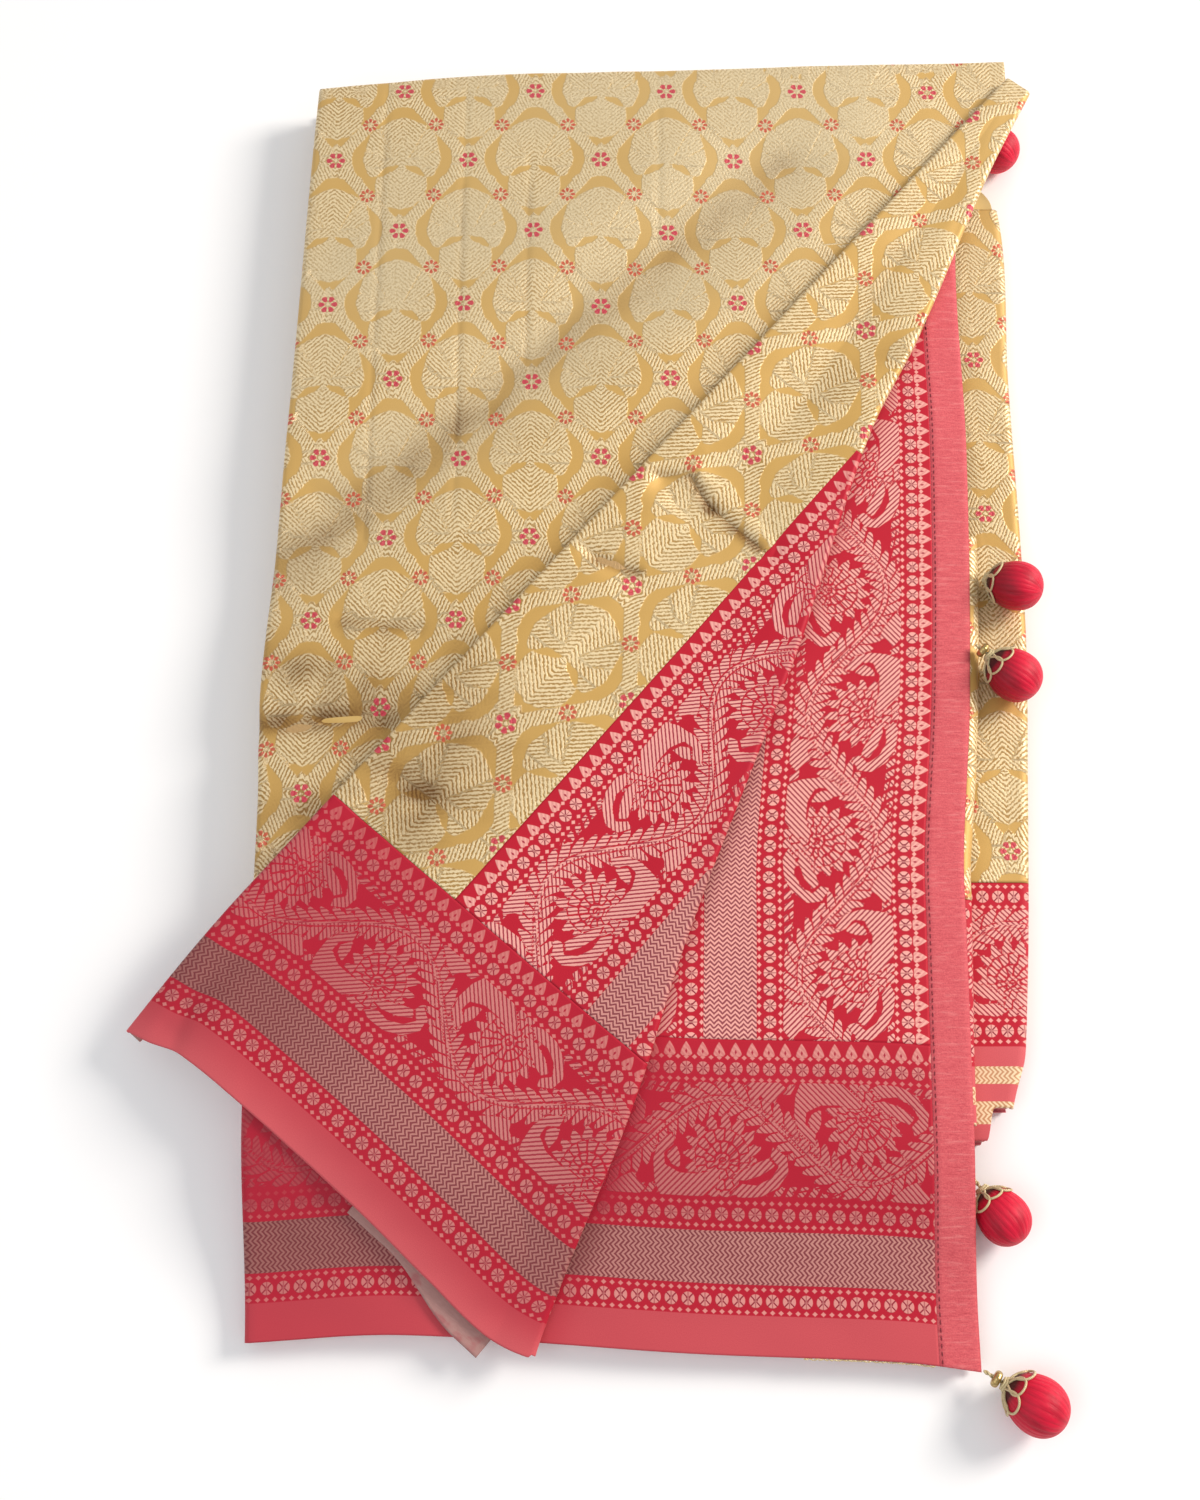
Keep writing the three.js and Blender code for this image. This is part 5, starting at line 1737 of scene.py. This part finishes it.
@dataclass
class ThreadTree:
    """A Geometry Nodes tree that sets short threads along a path."""

    name: str
    tree: bpy.types.NodeTree = field(init=False)

    def __post_init__(self) -> None:
        """Builds the tree with its named inputs."""
        self.tree = bpy.data.node_groups.new(self.name, "GeometryNodeTree")
        face = self.tree.interface
        face.new_socket("Geometry", in_out="INPUT", socket_type="NodeSocketGeometry")
        for title, value in (("Spacing", 0.0026), ("Length", 0.0011), ("Width", 0.00035), ("Lean", 0.3)):
            face.new_socket(title, in_out="INPUT", socket_type="NodeSocketFloat").default_value = value
        face.new_socket("Seed", in_out="INPUT", socket_type="NodeSocketInt").default_value = 7
        face.new_socket("Material", in_out="INPUT", socket_type="NodeSocketMaterial")
        face.new_socket("Geometry", in_out="OUTPUT", socket_type="NodeSocketGeometry")
        given = self.add("NodeGroupInput", {})
        length, width, lean = given["Length"], given["Width"], given["Lean"]
        along_path = {0: given["Geometry"], "Length": given["Spacing"]}
        points = self.add("GeometryNodeCurveToPoints", along_path, mode="LENGTH")
        back = self.add("ShaderNodeMath", {0: lean, 1: -1.0}, operation="MULTIPLY")[0]
        # A random value's float limits are its third and fourth inputs, and its float is its second output.
        leaning = self.add("FunctionNodeRandomValue", {2: back, 3: lean, "Seed": given["Seed"]}, data_type="FLOAT")[1]
        spin = self.add("FunctionNodeEulerToRotation", {0: self.add("ShaderNodeCombineXYZ", {2: leaning})[0]})[0]
        ahead = self.add("FunctionNodeAlignRotationToVector", {"Vector": points["Tangent"]}, axis="X")[0]
        turn = self.add("FunctionNodeRotateRotation", {0: ahead, 1: spin}, rotation_space="LOCAL")[0]
        grain = self.add("GeometryNodeMeshUVSphere", {"Segments": 6, "Rings": 5, "Radius": 1.0})["Mesh"]
        size = self.add("ShaderNodeCombineXYZ", {0: length, 1: width, 2: width})[0]
        put = self.add("GeometryNodeInstanceOnPoints", {
            "Points": points["Points"], "Instance": grain, "Rotation": turn, "Scale": size})[0]
        real = self.add("GeometryNodeRealizeInstances", {0: put})[0]
        finish = self.add("GeometryNodeSetMaterial", {0: real, "Material": given["Material"]})[0]
        self.add("NodeGroupOutput", {0: finish})

    def add(self, kind: str, values: dict[object, object], **settings: object) -> bpy.types.NodeOutputs:
        """Adds a node with its settings, links and values.

        Args:
            kind: the node's type.
            values: a socket to link or a value to set, by the input's name or place.
            settings: properties of the node itself.

        Returns:
            The node's outputs.
        """
        made = self.tree.nodes.new(kind)
        for name, value in settings.items():
            setattr(made, name, value)
        for key, value in values.items():
            if isinstance(value, Socket):
                self.tree.links.new(value, made.inputs[key])
            else:
                made.inputs[key].default_value = value
        return made.outputs

    def threads(self, name: str, path: Grid, material: Material, **sizes: float) -> Piece:
        """Sets threads along a path and turns them to a plain mesh.

        Args:
            name: the piece's name.
            path: its points in millimetres.
            material: the threads' material.
            sizes: the tree's inputs by their names, in lower case.

        Returns:
            The plain mesh object.
        """
        curve = bpy.data.curves.new(name + "_path", "CURVE")
        curve.dimensions = "3D"
        spline = curve.splines.new("POLY")
        spline.points.add(len(path) - 1)
        spline.points.foreach_set("co", np.c_[path * MM, np.ones(len(path))].ravel())
        holder = placed(name + "_path", curve)
        modifier = holder.modifiers.new("Threads", "NODES")
        modifier.node_group = self.tree
        given = {"material": material, **sizes}
        for item in self.tree.interface.items_tree:
            if item.in_out == "INPUT" and item.name.lower() in given:
                modifier[item.identifier] = given[item.name.lower()]
        graph = bpy.context.evaluated_depsgraph_get()
        mesh = bpy.data.meshes.new_from_object(holder.evaluated_get(graph), depsgraph=graph)
        mesh.name = name
        holder.modifiers.remove(modifier)
        bpy.data.objects.remove(holder)
        return placed(name, mesh)


@dataclass
class HemThreads:
    """The hem's stitch line, and the loose thread ends at the hem and at the front edge."""

    stack: Fold
    dresser: Dresser
    tree: ThreadTree

    def line(self, share: float, start: float, end: float, lift: float, count: int = 500) -> Grid:
        """Follows the hem at a share of its width.

        Args:
            share: share from the hem's inner line to its outer edge.
            start: share along that it starts at.
            end: share along that it ends at.
            lift: height over the hem in millimetres.
            count: how many points.

        Returns:
            The points in millimetres.
        """
        length = np.linspace(start, end, count)
        across = mix(self.stack.hem_share(length), PAST_EDGE, share)
        x, y = self.stack.plan(across, length)
        z = self.stack.cover_top(x, y) - self.stack.crease(x, y) - self.stack.fine_crease(x, y)
        return np.stack([x, y, z + lift], 1)

    def build(self) -> None:
        """Makes the stitches and the thread ends."""
        looks = self.dresser.looks
        stitches = self.tree.threads("hem_stitches", self.line(0.09, 0.003, 0.828, -0.22), looks["stitch"][0],
                                     spacing=0.0029, length=0.00105, width=0.00026, lean=0.12, seed=5)
        self.dresser.finish(stitches, "stitch")
        x = np.linspace(72, 121, 60)
        y = along(self.stack.near, x) - 0.4
        z = self.stack.cover_top(x, y) - 0.5 + 0.2 * np.sin(x)
        ends = self.tree.threads("selvedge_thread_ends", np.stack([x, y, z], 1), looks["thread"][0],
                                 spacing=0.0019, length=0.00125, width=0.0004, lean=0.35, seed=9)
        self.dresser.finish(ends, "thread")


@dataclass(frozen=True)
class TasselPlan:
    """Where one tassel lies: ball centre, a point on its cord's side, radius, cord reach and bead."""

    number: int
    centre: tuple[float, float, float]
    neck: tuple[float, float, float]
    radius: float
    cord: float
    bead: bool


TASSELS = (
    TasselPlan(1, (183.5, 272, 10.7), (173, 281, 11.2), 10.6, 25, True),
    TasselPlan(2, (172.5, 37.5, 25.2), (160.5, 43, 20.1), 10.8, 14.6, False),
    TasselPlan(3, (169, -3.5, 25.2), (159, 4.5, 26.5), 11, 20.2, True),
    TasselPlan(4, (151.6, -226.5, 11.3), (143.8, -215, 9), 10.4, 18.5, False),
    TasselPlan(5, (159.5, -296, 12.1), (144.5, -286.5, 9.8), 11.3, 22.4, True),
)


def round_points(radius: Grid, turn: Grid, height: Grid) -> Grid:
    """Places points round the upright axis, at those radii, turns and heights."""
    x, y = radius * np.cos(turn), radius * np.sin(turn)
    return np.stack([x, y, height + 0 * x], -1)


def tube_faces(rings: int, sides: int) -> list[list[int]]:
    """Makes the faces between closed rings of points, with one face over each end.

    Args:
        rings: how many rings.
        sides: how many points each has.

    Returns:
        The corner numbers of each face.
    """
    number = np.arange(rings * sides).reshape(rings, sides)
    after = np.roll(number, -1, 1)
    faces = np.stack([number[:-1], after[:-1], after[1:], number[1:]], 2).reshape(-1, 4).tolist()
    return faces + [number[0][::-1].tolist(), number[-1].tolist()]


@dataclass
class Tassel:
    """A ball wrapped in silk floss, with looped thread over its neck, a cord and a small bead."""

    plan: TasselPlan
    dresser: Dresser
    stretch: float = 1.14
    taper: float = 0.1
    threads_round: int = 26
    loops: int = 7

    def turn(self) -> Matrix:
        """Gives the matrix from the tassel's own frame, with its cord along Z, to the saree's."""
        centre, neck = Vector(self.plan.centre), Vector(self.plan.neck)
        return Matrix.Translation(centre) @ (neck - centre).to_track_quat("Z", "Y").to_matrix().to_4x4()

    def radius_at(self, height: Grid) -> Grid:
        """Gives the ball's radius at a height along its axis."""
        share = np.clip(height / (self.plan.radius * self.stretch), -1, 1)
        return self.plan.radius * np.sqrt(np.maximum(1 - share * share, 0)) * (1 - self.taper * share)

    def dress(self, kind: str, look: str, node: str, points: Grid, faces: list[list[int]], uv: Optional[Grid] = None,
              marks: Optional[dict[str, Grid]] = None) -> None:
        """Makes and dresses one piece from points in the tassel's own frame.

        Args:
            kind: the end of the piece's name.
            look: which look.
            node: the end of its solid's name.
            points: points in millimetres.
            faces: the corner numbers of each face.
            uv: a coordinate pair for each point.
            marks: further values by name, one for each point.
        """
        matrix, start = np.array(self.turn()), f"tassel_{self.plan.number}_"
        piece = mesh_object(start + kind, points @ matrix[:3, :3].T + matrix[:3, 3], faces, uv, marks)
        self.dresser.finish(piece, look, start + node)

    def ball(self) -> None:
        """Makes the wrapped ball, with a shallow furrow between its bundles of floss, which gets painted shade."""
        length = self.plan.radius * self.stretch
        rings, around = 56, 168
        tilt = np.linspace(-math.pi / 2 + 0.03, math.pi / 2 - 0.03, rings)
        turn = np.arange(around) / around * 2 * math.pi
        height = length * np.sin(tilt)[:, None]
        swirl = turn[None, :] * self.threads_round + 1.6 * np.sin(2 * tilt)[:, None] + 1.3 * np.sin(
            turn * 3 + self.plan.number)[None, :]
        deep = np.abs(np.sin(swirl / 2)) ** 0.7
        ends = np.cos(tilt)[:, None] ** 0.6
        lump = 0.25 * ripple(turn[None, :] * 8, height, 16, 70 + self.plan.number)
        radius = self.radius_at(height) + (0.24 * (deep - 1) + lump * 0.6) * ends
        points = round_points(radius, turn, height).reshape(-1, 3)
        uv = np.stack([turn[None, :] * self.plan.radius + 0 * radius, height + 0 * radius], 2).reshape(-1, 2)
        # Painted shade in the furrows between bundles.
        groove_shade = ((1 - deep) * 0.9 + 0 * radius).reshape(-1)
        neck = (smooth(0.62, 0.9, height / length) + 0 * radius).reshape(-1)
        # The neck mark also holds painted shade on the ball's left side, darker on tassels 2 and 3.
        leftward = (points @ np.array(self.turn())[:3, :3].T)[:, 0] / self.plan.radius
        neck = neck + (0.55 if self.plan.number in (2, 3) else 0.2) * smooth(0.35, -0.8, leftward)
        self.dress("silk", "silk", "ball", points, tube_faces(rings, around), uv, {"groove_shade": groove_shade, "neck": neck})

    def tube(self, path: Grid, radius: float, sides: int = 7) -> tuple[Grid, list[list[int]]]:
        """Makes a closed tube round a path.

        Args:
            path: its points.
            radius: its radius.
            sides: how many sides.

        Returns:
            The tube's points and faces.
        """
        ahead = np.gradient(path, axis=0)
        ahead = ahead / np.maximum(np.linalg.norm(ahead, axis=1, keepdims=True), 1e-9)
        aside = np.cross(ahead, np.array([0.31, 0.17, 0.93]))
        aside = aside / np.maximum(np.linalg.norm(aside, axis=1, keepdims=True), 1e-9)
        over = np.cross(ahead, aside)
        turn = np.arange(sides) / sides * 2 * math.pi
        ring = aside[:, None] * np.cos(turn)[None, :, None] + over[:, None] * np.sin(turn)[None, :, None]
        return (path[:, None] + ring * radius).reshape(-1, 3), tube_faces(len(path), sides)

    def cap(self) -> None:
        """Makes the looped thread over the neck, and the cord."""
        length = self.plan.radius * self.stretch
        parts: list[tuple[Grid, list[list[int]]]] = []
        t = np.linspace(0, 1, 33)
        swing = math.pi / self.loops * 1.15 * np.sin(2 * math.pi * t)
        drop = 0.5 * (1 - np.cos(2 * math.pi * t))
        for k in range(self.loops):
            height = length * (0.99 - 0.47 * drop * (1 + 0.12 * math.sin(3.1 * k + self.plan.number)))
            turn = 2 * math.pi * k / self.loops + swing
            parts.append(self.tube(round_points(self.radius_at(height) + 0.75, turn, height), 0.5))
        t = np.linspace(0, 2 * math.pi, 25)
        for height, reach in ((length + 0.3, 2.7), (length + 1.2, 2.2)):
            parts.append(self.tube(round_points(reach, t, height + 0.15 * np.sin(3 * t)), 0.62))
        t = np.linspace(0, 1, 40)
        for phase in (0.0, math.pi):
            spin = t * (self.plan.cord - length) * 1.5 + phase
            parts.append(self.tube(round_points(0.42, spin, mix(length - 0.8, self.plan.cord, t)), 0.46))
        points, faces, start = [], [], 0
        for place, sides in parts:
            points.append(place)
            faces += [[corner + start for corner in face] for face in sides]
            start += len(place)
        self.dress("thread", "thread", "cap", np.concatenate(points), faces)

    def bead(self) -> None:
        """Makes the small ribbed bead on the cord."""
        middle = self.plan.radius * self.stretch + 4
        around, side = 48, 16
        turn, cut = (np.arange(count) / count * 2 * math.pi for count in (around, side))
        radius = 2.2 + 1.1 * np.cos(cut)[None, :] * (1 + 0.1 * np.cos(turn * 8)[:, None])
        points = round_points(radius, turn[:, None], middle + 1.5 * np.sin(cut)[None, :]).reshape(-1, 3)
        number = np.arange(around * side).reshape(around, side)
        after = np.roll(number, -1, 0)
        faces = np.stack([number, after, np.roll(after, -1, 1), np.roll(number, -1, 1)], 2).reshape(-1, 4).tolist()
        self.dress("brass_bead", "bead", "bead", points, faces)

    def build(self) -> None:
        """Makes the tassel's pieces."""
        self.ball()
        self.cap()
        if self.plan.bead:
            self.bead()


# Studio


@dataclass
class Studio:
    """A pale floor, soft light and the camera at the photograph's angle."""

    camera_place: tuple[float, float, float] = (-0.008, -0.241, 0.691)
    tilt_degrees: float = 17.0
    lens: float = 39.6
    sky_strength: float = 0.55

    def camera(self) -> None:
        """Makes the camera."""
        data = bpy.data.cameras.new("camera")
        data.lens, data.sensor_width, data.sensor_fit = self.lens, 36.0, "AUTO"
        data.clip_start, data.clip_end = 0.01, 50.0
        eye = bpy.context.scene.camera = placed("camera", data)
        eye.location = self.camera_place
        eye.rotation_euler = (math.radians(self.tilt_degrees), 0, 0)

    def floor(self) -> None:
        """Makes the plain pale floor."""
        mesh = bpy.data.meshes.new("floor")
        mesh.from_pydata([(-3, -3, 0), (3, -3, 0), (3, 3, 0), (-3, 3, 0)], [], [(0, 1, 2, 3)])
        net = Net("pale_matt_floor")
        net.surface(base_color="#FFFFFF", roughness=0.9, metallic=0.0)
        mesh.materials.append(net.material)
        placed("floor", mesh)

    def light(self, name: str, place: tuple[float, float, float], size: float, power: float, colour: str) -> None:
        """Makes one soft area light that faces the middle of the saree.

        Args:
            name: the light's name.
            place: where it stands.
            size: its width.
            power: its power in watts.
            colour: its colour.
        """
        data = bpy.data.lights.new(name, "AREA")
        data.shape, data.size, data.energy, data.color = "SQUARE", size, power, linear(colour)[:3]
        lamp = placed(name, data)
        lamp.location = place
        lamp.rotation_euler = (-Vector(place)).to_track_quat("-Z", "Y").to_euler()

    def build(self) -> None:
        """Makes the camera, the floor, the sky light and the lamps."""
        self.camera()
        self.floor()
        world = bpy.data.worlds.new("studio")
        world.use_nodes = True
        sky = world.node_tree.nodes["Background"]
        sky.inputs[0].default_value, sky.inputs[1].default_value = linear("#FFFFFF"), self.sky_strength
        bpy.context.scene.world = world
        self.light("key", (1.9, 0.75, 1.25), 0.8, 50.0, "#FFF8F0")
        self.light("fill", (-0.9, -0.6, 1.5), 1.2, 6.5, "#F4F6FF")
        bpy.context.scene.view_settings.view_transform = "Standard"


def main() -> None:
    """Builds every piece in order and reports it."""
    Studio().build()
    sewing = TasselThread("crimson_sewing_thread", "#A01530", "#5E0A1C")
    finishes = {
        "gold": (ZariGold(), "zari_gold"), "crimson": (CrimsonBrocade(), "crimson_brocade"),
        "coral": (CoralSilk(), "coral_silk"), "reverse": (ReverseWeave(), "reverse_weave"),
        "plies": (FoldedPlies(), "zari_gold"), "silk": (TasselSilk(), "tassel_silk"),
        "thread": (TasselThread(), "tassel_thread"), "stitch": (sewing, "crimson_brocade"),
        "bead": (BeadMetal(), "tassel_bead"),
    }
    dresser = Dresser({look: (finish.build(), slot) for look, (finish, slot) in finishes.items()})
    stack, flap = Fold(), FlapFold()
    PlyStack(stack, dresser).build()
    cover = CoverCloth(stack, flap, dresser)
    for make in (cover.field, cover.border, cover.pallu, cover.hem):
        make()
    SideCloth(stack, dresser).build()
    turned = FlapCloth(stack, flap, dresser)
    for make in (turned.gold, turned.pallu, turned.border, turned.turn_under):
        make()
    HemThreads(stack, dresser, ThreadTree("ThreadsAlongPath")).build()
    for plan in TASSELS:
        Tassel(plan, dresser).build()


if __name__ == "__main__":
    main()
